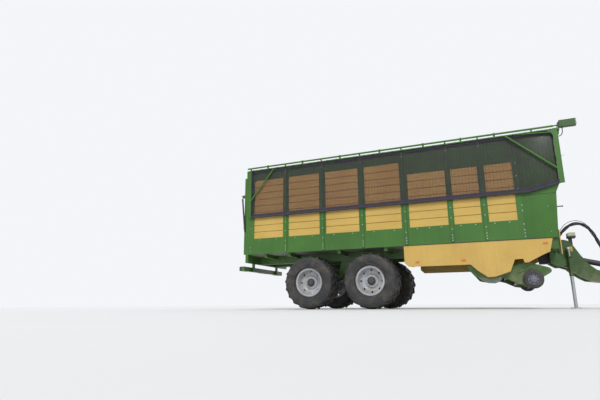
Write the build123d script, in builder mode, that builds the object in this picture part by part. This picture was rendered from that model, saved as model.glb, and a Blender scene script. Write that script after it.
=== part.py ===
from build123d import *
import os
from math import cos, radians, sin, tan

# Loader wagon, in millimetres: +X forward, +Y left, +Z up, ground at z = 0.
# x is given from the front plane of the body (front_x); "back" distances run to the rear.

os.makedirs("parts", exist_ok=True)

# Driving dimensions: body
body_length = 7600          # front plane to rear post plane
hitch_reach = 2300          # front plane to the towing eye's axis
eye_radius = 75             # outer radius of the towing eye
rear_depth = 225            # rear post plane to the rearmost lamp face
wall_y = 1250               # outer face of a side wall
wall_thick = 60
wall_bottom = 1470
wall_top = 3830
lean_low = 75               # the walls' front edge stands this far ahead of the front plane
lean_low_z = 2450
lean_high = 160
lean_high_z = 2640
rib_proud = 20              # how far a post's rib stands out of the wall
window_bottom = 1900
window_low_top = 3230       # front bays
window_high_top = 3560      # rear bays
board_pitch = 190
board_thick = 22
board_back = 14             # plain sheet behind the raised boards
board_groove = 14
floor_thick = 30
floor_z = wall_bottom + floor_thick

overall_length = hitch_reach + eye_radius + body_length + rear_depth
front_x = overall_length / 2 - hitch_reach - eye_radius
rear_x = front_x - body_length

# Bays of boards: distance behind the front plane of the front and rear edge, and top
BAYS = (
    (730, 1310, window_low_top),
    (1460, 2050, window_low_top),
    (2180, 3070, window_low_top),
    (3260, 4150, window_high_top),
    (4320, 5210, window_high_top),
    (5390, 6280, window_high_top),
    (6450, 7340, window_high_top),
)

# Top rail and swing-out cover
rail_height = 50
rail_top = wall_top + rail_height
beam_low = 3700             # underside of the cross beam ahead of the body
hinge_y = 1312
hinge_z = 3926
hinge_radius = 22
loop_wall = 11
lacing_drop = 74            # hinge axis to the axis of the wing's own top tube
wing_tube = 16
wing_depth = 1430           # hinge axis to the axis of the wing's free edge
wing_front = 255            # how far the wing's front bar stands ahead of the front plane
wing_bar = 100
brace_radius = 21
wing_rear_back = 7480
edge_tube = 22
mesh_thick = 4
corner_bend = 190           # radius of the frame's upper front corner
corner_rise = 150
corner_run = 450

# Axles and wheels
tyre_radius = 675
tyre_width = 700
rim_radius = 336
lug_count = 20              # lugs on each half of the tread
lug_height = 32
lug_drop = 5.4              # the lug's flat top lies this far inside the tyre's radius at its middle
lug_width = 44
lug_turn = -24.0
lug_middle = 170
hand_holes = 8
wheel_nuts = 10
track = 2050
axle_back = (4100, 5700)    # front and rear axle, behind the front plane
axle_box = 120
spindle_radius = 45
king_y = 610
king_radius = 24

# Frame
beam_y = 480
beam_width = 100
beam_bottom = 1250
head_back = 120
head_front = 20
side_beam_in = 1130
side_beam_out = 1180
front_frame_back = 2150

# Drawbar
pivot_ahead = 160
pivot_z = 1020
pivot_pin = 30
pivot_lug = 90
cheek_in = 190
cheek_out = 310
lug_thick = 30
lug_gap = 5
eye_z = 500
eye_bore = 25
eye_thick = 60

# Drawbar cylinders
ram_back = 560
ram_z = 1390
ram_y = 130
ram_radius = 28
ram_rod = 16
ram_pin = 12
ram_eye = 28
ram_lug = 12
ram_lug_in = 84
ram_lug_out = 164
ear_z = 1460
ear_bore = 20

# Drive shaft
joint_ahead = 110
joint_z = 1185
shaft_slope = 15.0
shaft_length = 1790
guard_radius = 62
yoke_bore = 17.5

# Jack
jack_ahead = 250
jack_y = -400
jack_radius = 45
leg_radius = 36
foot_radius = 110
leg_top = 860               # the leg goes up by 420 in its tube
foot_thick = 20

# Pickup and rotor
rotor_back = 1400
rotor_z = 1070
rotor_radius = 390
rotor_half = 1030
rotor_tube = 150
rotor_shaft = 60
plate_in = 1095
plate_out = 1130
pickup_pivot_back = 1500
pickup_pivot_z = 800
arm_in = 1060
arm_out = 1085
reel_back = 580
reel_z = 720
reel_radius = 250
reel_drum = 150
reel_half = 1000
gauge_back = 560
gauge_z = 620
gauge_radius = 200
gauge_y = 1150
gauge_width = 90
roller_back = 250
roller_z = 800
roller_radius = 60

# Tailgate
gate_thick = 80
gate_gap = 20
gate_half = 1180
gate_bottom = 1490
gate_top = 3690
gate_hinge_z = 3760
fit = 0.5                   # radial clearance of pins and shafts

# Tailgate cylinders: place behind the rear post plane, height
lift_low_behind = 60
lift_low_z = 2150
lift_high_behind = 160
lift_high_z = 3160
lift_y = 1222
lift_rod = 11
lift_pin = 12


def back(distance):
    """x of a place behind the front plane"""
    return front_x - distance


def side_plane(y):
    """Plane in X and Z whose extrusion runs towards lower y"""
    return Plane.XZ.offset(-y)


def block(x0, x1, y0, y1, z0, z1, mode=Mode.ADD):
    """Box between two corners"""
    with Locations(((x0 + x1) / 2, (y0 + y1) / 2, (z0 + z1) / 2)):
        Box(abs(x1 - x0), abs(y1 - y0), abs(z1 - z0), mode=mode)


def plate(points, y0, y1, mode=Mode.ADD):
    """Flat plate with an outline of (x, z) points, from y0 to y1"""
    with BuildSketch(side_plane(max(y0, y1))) as profile:
        with BuildLine():
            Polyline(*points, close=True)
        make_face()
    extrude(profile.sketch, amount=abs(y1 - y0), mode=mode)


def rod_y(x, z, y0, y1, radius, mode=Mode.ADD):
    """Round bar along Y"""
    with BuildSketch(side_plane(max(y0, y1))) as profile:
        with Locations((x, z)):
            Circle(radius)
    extrude(profile.sketch, amount=abs(y1 - y0), mode=mode)


def rod_x(y, z, x0, x1, radius, mode=Mode.ADD):
    """Round bar along X"""
    with BuildSketch(Plane.YZ.offset(min(x0, x1))) as profile:
        with Locations((y, z)):
            Circle(radius)
    extrude(profile.sketch, amount=abs(x1 - x0), mode=mode)


def rod_z(x, y, z0, z1, radius, mode=Mode.ADD):
    """Round bar along Z"""
    with BuildSketch(Plane.XY.offset(min(z0, z1))) as profile:
        with Locations((x, y)):
            Circle(radius)
    extrude(profile.sketch, amount=abs(z1 - z0), mode=mode)


def strut(start, end, radius, mode=Mode.ADD):
    """Round bar between two points"""
    a, b = Vector(*start), Vector(*end)
    with BuildSketch(Plane(origin=a, z_dir=b - a)) as profile:
        Circle(radius)
    extrude(profile.sketch, amount=(b - a).length, mode=mode)


def keep(builder, name):
    """Label a finished piece and write it"""
    builder.part.label = name
    export_step(builder.part, "parts/" + name + ".step")


AXLES = [back(d) for d in axle_back]
rotor_x = back(rotor_back)
pivot_x = front_x + pivot_ahead
joint_x = front_x + joint_ahead
eye_x = front_x + hitch_reach
head_rear = back(head_back)
head_nose = front_x + head_front
frame_front = back(front_frame_back)
wheel_y = track / 2
wheel_in = wheel_y - tyre_width / 2
axle_z = tyre_radius

# Frame: main beams to the rear, side beams past the rotor, and cross members between them
slot_in = ram_lug_in - 4
slot_out = ram_lug_out + ram_lug + 4
slot_floor = 1385
head_top = 1590
tie_depth = 120
tie_rear = frame_front - tie_depth
rear_depth_beam = 80
beam_in = beam_y - beam_width / 2
beam_out = beam_y + beam_width / 2
member_height = 90
MEMBERS = (2900, 3700, 4900, 6300, 7000)      # cross members, behind the front plane
lamp_beam_z = 1040
lamp_beam_size = 120
with BuildPart() as chassis_frame:
    for sign in (-1, 1):
        block(rear_x + rear_depth_beam, tie_rear, sign * beam_in, sign * beam_out, beam_bottom, wall_bottom)
keep(chassis_frame, "chassis_frame")

with BuildPart() as side_beams:
    for sign in (-1, 1):
        block(frame_front, head_nose, sign * side_beam_in, sign * side_beam_out, beam_bottom, wall_bottom)
keep(side_beams, "side_beams")

with BuildPart() as cross_members:
    block(head_rear, head_nose, -side_beam_in, side_beam_in, beam_bottom, slot_floor)
    block(tie_rear, frame_front, -side_beam_out, side_beam_out, beam_bottom, wall_bottom)
    for d in MEMBERS:
        for y0, y1 in ((-side_beam_out, -beam_out), (-beam_in, beam_in), (beam_out, side_beam_out)):
            block(back(d) - 40, back(d) + 40, y0, y1, wall_bottom - member_height, wall_bottom)
    block(rear_x, rear_x + rear_depth_beam, -wall_y, wall_y, beam_bottom, wall_bottom)
    # Lamp beam hangs behind the rear cross member
    for sign in (-1, 1):
        block(rear_x - 60, rear_x, sign * 700, sign * 760, lamp_beam_z, beam_bottom + 120)
    block(rear_x - 140, rear_x - 60, -1200, 1200, lamp_beam_z, lamp_beam_z + lamp_beam_size)
keep(cross_members, "cross_members")

# Head: three blocks on the front cross member, with a slot for each drawbar cylinder between them
with BuildPart() as head_beam:
    for y0, y1 in ((-plate_in, -slot_out), (-slot_in, slot_in), (slot_out, plate_in)):
        block(head_rear, head_nose, y0, y1, slot_floor, head_top)
keep(head_beam, "head_beam")

# Cheeks under the head carry the drawbar's pivot between two lugs on each side
with BuildPart() as drawbar_lugs:
    outline = [
        (head_rear, beam_bottom), (head_nose, beam_bottom), (pivot_x, pivot_z + pivot_lug),
        (pivot_x, pivot_z - pivot_lug), (head_nose, pivot_z - pivot_lug), (head_rear, pivot_z),
    ]
    for sign in (-1, 1):
        for inner in (cheek_in - lug_gap - lug_thick, cheek_out + lug_gap):
            plate(outline, sign * inner, sign * (inner + lug_thick))
            rod_y(pivot_x, pivot_z, sign * inner, sign * (inner + lug_thick), pivot_lug)
        rod_y(pivot_x, pivot_z, sign * (cheek_in - lug_gap - lug_thick),
              sign * (cheek_out + lug_gap + lug_thick), pivot_pin)
keep(drawbar_lugs, "drawbar_lugs")

# Lugs behind the head for the drawbar cylinders
with BuildPart() as ram_lugs:
    outline = [
        (head_rear, 1300), (back(ram_back + 40), 1330), (back(ram_back + 40), ram_z + 28),
        (back(ram_back - 30), ram_z + 28), (back(ram_back - 60), 1350), (head_rear, 1350),
    ]
    for sign in (-1, 1):
        for inner in (ram_lug_in, ram_lug_out):
            plate(outline, sign * inner, sign * (inner + ram_lug))
        rod_y(back(ram_back), ram_z, sign * ram_lug_in, sign * (ram_lug_out + ram_lug), ram_pin + fit,
              mode=Mode.SUBTRACT)
keep(ram_lugs, "ram_lugs")

# Gearbox under the head, with the input shaft's cross
with BuildPart() as gearbox:
    block(back(320), head_rear, -140, 140, joint_z - 170, joint_z + 110)
    block(back(320), head_rear, -78, 78, joint_z + 110, 1400)
    rod_x(0, joint_z, head_rear, joint_x - 40, 32)
    rod_x(0, joint_z, head_rear, head_rear + 60, 58)
    block(joint_x - 40, joint_x + 16, -22, 22, joint_z - 22, joint_z + 22)
    rod_y(joint_x, joint_z, -46, 46, 12)
    block(back(320), back(240), -side_beam_in, -140, joint_z + 20, joint_z + 110)
keep(gearbox, "gearbox")

# Load floor with the deck over the rotor ahead of it
floor_front = back(1950)
with BuildPart() as load_floor:
    block(rear_x + 10, floor_front, -(wall_y - wall_thick - 5), wall_y - wall_thick - 5, wall_bottom, floor_z)
    block(back(1250), head_rear, -(wall_y - wall_thick - 5), wall_y - wall_thick - 5, wall_bottom, floor_z)
keep(load_floor, "load_floor")

# Scraper floor: four chains with slats across each pair
chain_y = (1080, 150)
slat_pitch = 330
with BuildPart() as scraper_chains:
    for sign in (-1, 1):
        for y in chain_y:
            block(rear_x + 60, floor_front - 40, sign * y - 14, sign * y + 14, floor_z, floor_z + 16)
        count = int((floor_front - rear_x - 200) / slat_pitch)
        for i in range(count + 1):
            x = rear_x + 110 + i * slat_pitch
            block(x - 22, x + 22, sign * chain_y[1], sign * chain_y[0], floor_z, floor_z + 30)
keep(scraper_chains, "scraper_chains")

# Side walls: one plate a side with a window for each bay of boards, and ribs on its posts
for side, sign in (("right", -1), ("left", 1)):
    with BuildPart() as side_wall:
        outline = [
            (rear_x, wall_bottom), (front_x, wall_bottom), (front_x + lean_low, lean_low_z),
            (front_x + lean_high, lean_high_z), (front_x + lean_high, wall_top), (rear_x, wall_top),
        ]
        plate(outline, sign * (wall_y - wall_thick), sign * wall_y)
        for d0, d1, top in BAYS:
            block(back(d1), back(d0), sign * (wall_y - wall_thick), sign * wall_y, window_bottom, top,
                  mode=Mode.SUBTRACT)
        posts = [(a[1] + b[0]) / 2 for a, b in zip(BAYS, BAYS[1:])]
        for d in posts:
            block(back(d) - 32, back(d) + 32, sign * wall_y, sign * (wall_y + rib_proud), wall_bottom + 20,
                  wall_top)
    keep(side_wall, "side_wall_" + side)

    with BuildPart() as boards:
        outer = wall_y - 8
        for d0, d1, top in BAYS:
            block(back(d1), back(d0), sign * (outer - board_thick - board_back), sign * (outer - board_thick),
                  window_bottom, top)
            rows = round((top - window_bottom) / board_pitch)
            pitch = (top - window_bottom) / rows
            for i in range(rows):
                low = window_bottom + i * pitch + (board_groove / 2 if i else 0)
                high = window_bottom + (i + 1) * pitch - (board_groove / 2 if i < rows - 1 else 0)
                block(back(d1), back(d0), sign * (outer - board_thick), sign * outer, low, high)
    keep(boards, "boards_" + side)

# Lugs and pins behind the rear posts for the tailgate's cylinders
lug_half = 24
with BuildPart() as gate_lugs:
    for sign in (-1, 1):
        block(rear_x - lift_low_behind, rear_x, sign * (gate_half + 8), sign * (lift_y - 18),
              lift_low_z - lug_half, lift_low_z + lug_half)
        rod_y(rear_x - lift_low_behind, lift_low_z, sign * (gate_half + 8), sign * (lift_y - 18), lug_half)
        rod_y(rear_x - lift_low_behind, lift_low_z, sign * (gate_half + 8), sign * (lift_y + 20), lift_pin)
keep(gate_lugs, "gate_lugs")

# Skirts under the walls, with the bulge that covers the rotor's end
SKIRT = (
    (110, wall_bottom - 5), (188, 1180), (330, 1120), (620, 970), (700, 970), (720, 1050), (880, 1045),
    (990, 790), (1290, 690), (1450, 680), (1650, 830), (1790, 970), (3150, 970), (3250, 1060),
    (3250, wall_bottom - 5),
)
with BuildPart() as skirts:
    for sign in (-1, 1):
        plate([(back(d), z) for d, z in SKIRT], sign * (wall_y - 32), sign * (wall_y - 8))
        for d in (300, 1100, 2000, 3100):
            block(back(d) - 30, back(d) + 30, sign * side_beam_out, sign * (wall_y - 32),
                  beam_bottom + 60, beam_bottom + 140)
keep(skirts, "skirts")

# Narrow covers on the front ends of the side beams
with BuildPart() as corner_covers:
    for sign in (-1, 1):
        block(head_nose, head_nose + 16, sign * side_beam_in, sign * (wall_y - 4), 1120, 1640)
keep(corner_covers, "corner_covers")

# Hose of a cover drive on the left side: x ahead of the front plane, y and z of its route
cover_hose_radius = 9
COVER_HOSE = (
    (350, hinge_y, hinge_z - 76), (350, hinge_y, hinge_z - 160), (322, 1286, hinge_z - 232),
    (262, 1246, hinge_z - 236), (206, 1206, hinge_z - 196),
)


def cover_hose(sign):
    """Route of the cover drive's hose on one side"""
    return [Vector(front_x + d, sign * y, z) for d, y, z in COVER_HOSE]


# Top frame: rails on both walls, a cross beam ahead of the body and a portal at the rear
with BuildPart() as top_frame:
    for sign in (-1, 1):
        block(rear_x, front_x + 190, sign * (wall_y - wall_thick), sign * wall_y, wall_top, rail_top)
        rod_x(sign * hinge_y, hinge_z, rear_x + 60, front_x + 180, hinge_radius)
        hangers = [(BAYS[i][1] + BAYS[i + 1][0]) / 2 for i in range(len(BAYS) - 1)] + [250, 7450]
        for d in hangers:
            outline = [
                (sign * (wall_y - 10), wall_top + 6), (sign * wall_y, wall_top + 6),
                (sign * (hinge_y + 12), hinge_z - 8), (sign * (hinge_y - 14), hinge_z + 14),
                (sign * (wall_y - 10), rail_top),
            ]
            with BuildSketch(Plane.YZ.offset(back(d) - 14)):
                with BuildLine():
                    Polyline(*outline, close=True)
                make_face()
            extrude(amount=28)
    block(front_x + 50, front_x + 190, -(wall_y - wall_thick), wall_y - wall_thick, beam_low, rail_top)
    block(front_x + lean_high, front_x + 190, -wall_y, wall_y, beam_low, rail_top)
    for sign in (-1, 1):
        route = cover_hose(sign)
        strut(route[-1], route[-1] + (route[-1] - route[-2]).normalized() * 24, cover_hose_radius + 4)
    block(rear_x, rear_x + 80, -(wall_y - wall_thick), wall_y - wall_thick, wall_top - 60, rail_top)
    for y in (-900, -40, 820):
        for y0 in (y, y + 60):
            outline = [(rear_x, rail_top - 20), (rear_x - 60, gate_hinge_z + 45),
                       (rear_x - 105, gate_hinge_z), (rear_x - 60, gate_hinge_z - 45), (rear_x, wall_top - 50)]
            plate(outline, y0, y0 + 20)
        rod_y(rear_x - 60, gate_hinge_z, y, y + 80, 16)
keep(top_frame, "top_frame")

# Front wall between the side walls, leaning ahead under the cross beam: plate below, barred windows above
inner_y = wall_y - wall_thick
front_low = 1590
front_thick = 40
front_lean = 141            # how far its top stands ahead of its foot
grille_low = 2560
grille_high = 3590


def lean_at(z):
    """x of the front wall's middle at a height"""
    return front_x - front_thick / 2 + front_lean * (z - front_low) / (beam_low - front_low)


with BuildPart() as front_wall:
    outline = [
        (back(front_thick), front_low), (front_x, front_low), (front_x + front_lean, beam_low),
        (front_x + front_lean - front_thick, beam_low),
    ]
    plate(outline, -inner_y, inner_y)
    for i in range(4):
        y0 = -inner_y + 60 + i * (2 * inner_y - 60) / 4
        y1 = y0 + (2 * inner_y - 60) / 4 - 60
        block(back(front_thick), front_x + front_lean, y0, y1, grille_low, grille_high, mode=Mode.SUBTRACT)
        for k in range(1, 6):
            y = y0 + k * (y1 - y0) / 6
            low, high = grille_low - 8, grille_high + 8
            strut((lean_at(low), y, low), (lean_at(high), y, high), 9)
keep(front_wall, "front_wall")

# Drives at the front of the two hinge tubes
drive_near = 290
drive_far = 600
with BuildPart() as cover_drives:
    for sign in (-1, 1):
        rod_x(sign * hinge_y, hinge_z, front_x + 180, front_x + drive_near, 14)
        rod_x(sign * hinge_y, hinge_z, front_x + drive_near, front_x + drive_far + 16, 62)
        block(front_x + drive_near, front_x + drive_far, sign * (hinge_y - 70), sign * (hinge_y + 70),
              hinge_z - 50, hinge_z + 90)
        rod_z(front_x + 350, sign * hinge_y, hinge_z - 76, hinge_z, cover_hose_radius + 4)
        # Bracket that carries the drive ahead of the wing's front bar
        block(front_x + 190, front_x + drive_near, sign * (wall_y - 80), sign * (wall_y - 20), 3760, 3870)
        block(front_x + drive_near - 24, front_x + drive_near, sign * (wall_y - 80), sign * (hinge_y + 40),
              3800, hinge_z + 60)
keep(cover_drives, "cover_drives")

# Rotor housing: a plate at each end of the rotor, tied below by the knife bed
bed_inner = rotor_radius + 12
bed_outer = bed_inner + 24
with BuildPart() as rotor_housing:
    for sign in (-1, 1):
        outline = [
            (back(960), 1400), (back(960), 1180), (back(1150), 700), (back(1330), 640), (back(1480), 650),
            (back(1700), 700), (back(1940), 1000), (back(1940), 1400),
        ]
        plate(outline, sign * plate_in, sign * plate_out)
        rod_y(rotor_x, rotor_z, sign * plate_in, sign * plate_out, rotor_shaft + fit, mode=Mode.SUBTRACT)
    # Bed: an arc from under the rotor round to its rear
    with BuildSketch(side_plane(arm_in - 10)) as bed:
        with Locations((rotor_x, rotor_z)):
            Circle(bed_outer)
            Circle(bed_inner, mode=Mode.SUBTRACT)
        with BuildLine():
            Polyline((rotor_x, rotor_z), (back(330), rotor_z - 1500), (back(330), rotor_z + 1000),
                     (back(2600), rotor_z + 1000), (back(2600), rotor_z + 120), close=True)
        make_face(mode=Mode.SUBTRACT)
    extrude(amount=2 * (arm_in - 10))
    bed_middle = (bed_inner + bed_outer) / 2
    for angle in (250, 176):
        x = rotor_x + bed_middle * cos(radians(angle))
        z = rotor_z + bed_middle * sin(radians(angle))
        rod_y(x, z, -plate_in, plate_in, 18)
    for sign in (-1, 1):
        rod_y(back(pickup_pivot_back), pickup_pivot_z, sign * (arm_in - 12), sign * plate_in, 24)
keep(rotor_housing, "rotor_housing")

# Feed rotor: stars of hooked tines on a tube, each row turned a little from the last
star_pitch = 200
star_thick = 16
tines_per_star = 8


def star_points(phase):
    """Outline of a star about the rotor's axis"""
    points = []
    for i in range(tines_per_star):
        base = phase + i * 360 / tines_per_star
        for turn, radius in ((0, rotor_tube - 10), (16, rotor_radius - 60), (23, rotor_radius),
                             (29, rotor_radius - 8), (31, rotor_tube - 10)):
            a = radians(base + turn)
            points.append((rotor_x + radius * cos(a), rotor_z + radius * sin(a)))
    return points


with BuildPart() as feed_rotor:
    rod_y(rotor_x, rotor_z, -rotor_half, rotor_half, rotor_tube)
    stars = int(2 * (rotor_half - 20) / star_pitch) + 1
    for i in range(stars):
        y = (i - (stars - 1) / 2) * star_pitch
        plate(star_points(45 * abs(i - (stars - 1) / 2) / 5), y - star_thick / 2, y + star_thick / 2)
keep(feed_rotor, "feed_rotor")

# Stub shafts at the rotor's ends, in the housing plates
with BuildPart() as rotor_stubs:
    for sign in (-1, 1):
        rod_y(rotor_x, rotor_z, sign * rotor_half, sign * (plate_out + 30), rotor_shaft)
keep(rotor_stubs, "rotor_stubs")

# Suspension: a rocking beam on each side under a hanger
with BuildPart() as suspension:
    middle = (AXLES[0] + AXLES[1]) / 2
    for sign in (-1, 1):
        outline = [
            (AXLES[0] + 80, axle_z + 60), (AXLES[0] + 80, axle_z + 150), (middle + 220, 1060),
            (middle + 160, beam_bottom), (middle - 160, beam_bottom), (middle - 220, 1060),
            (AXLES[1] - 80, axle_z + 150), (AXLES[1] - 80, axle_z + 60), (AXLES[1] + 90, axle_z + 60),
            (middle - 200, 900), (middle + 200, 900), (AXLES[0] - 90, axle_z + 60),
        ]
        plate(outline, sign * (beam_y - 45), sign * (beam_y + 15))
keep(suspension, "suspension")

# Axles: a straight one ahead, and one with a yoke at each end for its knuckles
yoke_in = 500
yoke_out = 655
knuckle_half_z = 85
half = axle_box / 2
with BuildPart() as axles:
    block(AXLES[0] - half, AXLES[0] + half, -600, 600, axle_z - half, axle_z + half)
    block(AXLES[1] - half, AXLES[1] + half, -yoke_in - 60, yoke_in + 60, axle_z - half, axle_z + half)
    for sign in (-1, 1):
        rod_y(AXLES[0], axle_z, sign * 600, sign * (wheel_y + 90), spindle_radius)
        for z0 in (axle_z - knuckle_half_z - 35, axle_z + knuckle_half_z + 5):
            block(AXLES[1] - 50, AXLES[1] + 50, sign * yoke_in, sign * yoke_out, z0, z0 + 30)
        block(AXLES[1] - 50, AXLES[1] + 50, sign * yoke_in, sign * (yoke_in + 60),
              axle_z - knuckle_half_z - 35, axle_z + knuckle_half_z + 35)
        rod_z(AXLES[1], sign * king_y, axle_z - knuckle_half_z - 35, axle_z + knuckle_half_z + 35, king_radius)
keep(axles, "axles")

# Knuckles with their spindles and steering arms
arm_reach = 250
arm_y = king_y
arm_low = axle_z - 75
arm_high = axle_z - 30
tie_pin = 12
for side, sign in (("right", -1), ("left", 1)):
    with BuildPart() as knuckle:
        block(AXLES[1] - 45, AXLES[1] + 45, sign * (king_y - 35), sign * (king_y + 35),
              axle_z - knuckle_half_z, axle_z + knuckle_half_z)
        rod_y(AXLES[1], axle_z, sign * (king_y + 35), sign * (wheel_y + 90), spindle_radius)
        block(AXLES[1] - arm_reach - 25, AXLES[1] - 45, sign * (arm_y - 22), sign * (arm_y + 22), arm_low, arm_high)
        rod_z(AXLES[1], sign * king_y, axle_z - knuckle_half_z, axle_z + knuckle_half_z, king_radius + fit,
              mode=Mode.SUBTRACT)
        rod_z(AXLES[1] - arm_reach, sign * arm_y, arm_low, arm_high, tie_pin + fit, mode=Mode.SUBTRACT)
    keep(knuckle, "knuckle_" + side)

with BuildPart() as tie_rod:
    tie_low = arm_high + 5
    rod_y(AXLES[1] - arm_reach, tie_low + 16, -arm_y, arm_y, 16)
    for sign in (-1, 1):
        rod_z(AXLES[1] - arm_reach, sign * arm_y, tie_low, tie_low + 32, 24)
        rod_z(AXLES[1] - arm_reach, sign * arm_y, arm_low, tie_low, tie_pin)
keep(tie_rod, "tie_rod")

# Wheels
WHEELS = (
    ("front_right", AXLES[0], -1), ("front_left", AXLES[0], 1),
    ("rear_right", AXLES[1], -1), ("rear_left", AXLES[1], 1),
)
CARCASS = (  # distance outward from the wheel's middle, radius
    (-230, rim_radius + fit), (-230, rim_radius + 25), (-258, rim_radius + 25), (-310, 385), (-348, 470),
    (-343, 560), (-315, 620), (-250, tyre_radius - lug_height), (250, tyre_radius - lug_height), (315, 620),
    (343, 560), (348, 470), (310, 385), (258, rim_radius + 25), (230, rim_radius + 25),
    (230, rim_radius + fit),
)
RIM = (
    (-250, rim_radius + 22), (-236, rim_radius + 22), (-232, rim_radius), (232, rim_radius),
    (236, rim_radius + 22), (250, rim_radius + 22), (250, rim_radius - 22), (70, rim_radius - 40),
    (80, 240), (40, 170), (80, 150), (80, spindle_radius + fit), (-110, spindle_radius + fit),
    (-110, 130), (10, 150), (10, 240), (30, rim_radius - 60), (-240, rim_radius - 30),
)
LUG = (  # side view of a lug: distance outward from the wheel's middle, radius
    (6, tyre_radius - 60), (6, tyre_radius - lug_drop), (262, tyre_radius - lug_drop), (330, 612),
    (349, 556), (330, 540), (250, tyre_radius - 60),
)
upright = Plane(origin=(0, 0, 0), x_dir=(0, 1, 0), z_dir=(1, 0, 0))

# One lug, turned about the radial line through its middle so that its outer end trails
with BuildPart() as lug:
    with BuildSketch(Plane(origin=(-lug_width / 2, 0, 0), x_dir=(0, 1, 0), z_dir=(1, 0, 0))):
        with BuildLine():
            Polyline(*LUG, close=True)
        make_face()
    extrude(amount=lug_width)
lug_shape = Location((0, lug_middle, 0), (0, 0, lug_turn)) * Location((0, -lug_middle, 0)) * lug.part

with BuildPart() as left_tyre:
    with BuildSketch(upright):
        with BuildLine():
            Polyline(*CARCASS, close=True)
        make_face()
    revolve(axis=Axis.Y)
    outer = [Location((0, 0, 0), (0, 360 * i / lug_count, 0)) * lug_shape for i in range(lug_count)]
    half_pitch = 180 / lug_count
    inner = [Location((0, 0, 0), (0, 360 * i / lug_count + half_pitch, 0)) * mirror(lug_shape, about=Plane.XZ)
             for i in range(lug_count)]
    add(outer + inner)

# One rim with hand holes round its dish, and wheel nuts round its middle
with BuildPart() as left_rim:
    with BuildSketch(upright):
        with BuildLine():
            Polyline(*RIM, close=True)
        make_face()
    revolve(axis=Axis.Y)
    for i in range(hand_holes):
        a = radians(360 * i / hand_holes)
        rod_y(268 * cos(a), 268 * sin(a), -60, 120, 26, mode=Mode.SUBTRACT)
    for i in range(wheel_nuts):
        a = radians(360 * (i + 0.5) / wheel_nuts)
        rod_y(118 * cos(a), 118 * sin(a), 60, 104, 13)

for name, x, sign in WHEELS:
    for part, one in (("tyre_", left_tyre.part), ("rim_", left_rim.part)):
        shape = one if sign > 0 else mirror(one, about=Plane.XZ)
        with BuildPart() as wheel_piece:
            add(Location((x, sign * wheel_y, axle_z)) * shape)
        keep(wheel_piece, part + name)

# Drawbar: two deep cheeks at the hump, joined ahead into one beam that ends in the eye
CHEEK = (  # distance ahead of the front plane, height
    (95, 930), (95, 1490), (130, 1518), (190, 1525), (275, 1496), (348, 1418), (404, 1320), (469, 1195),
    (545, 1065), (640, 940), (770, 829), (1200, 705), (1900, 570), (2190, 540), (2190, 460),
    (1900, 440), (1250, 500), (744, 575), (586, 600), (450, 680), (305, 800), (230, 880),
)
slot_front = 645

# Hose bundle over the hump: x ahead of the front plane, y and z of its route
hose_radius = 22
HOSE = [Vector(front_x + d, y, z) for d, y, z in (
    (152, -40, 1650), (300, -42, 1835), (520, -30, 1940), (730, 0, 1868), (850, 30, 1690), (930, 62, 1490),
    (1000, 84, 1290), (1115, 96, 1215), (1240, 100, 1203),
)]
hose_out = (HOSE[1] - HOSE[0]).normalized()
hose_in = (HOSE[-1] - HOSE[-2]).normalized()


def hose_radii(points):
    """Bend radius at each inner point of a route: 0.45 of the shorter run over the half turn's tangent"""
    radii = []
    for a, b, c in zip(points, points[1:], points[2:]):
        turn = radians((b - a).get_angle(c - b))
        radii.append(0.45 * min((b - a).length, (c - b).length) / tan(turn / 2))
    return radii


def hose(points, radius):
    """Tube of straight runs and tangent arcs through a route"""
    radii = hose_radii(points)
    print("hose radii", [round(r) for r in radii])
    with BuildLine() as route:
        FilletPolyline(*points, radius=radii)
    with BuildSketch(Plane(origin=points[0], z_dir=points[1] - points[0])) as section:
        Circle(radius)
    sweep(section.sketch, path=route.line)

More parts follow.
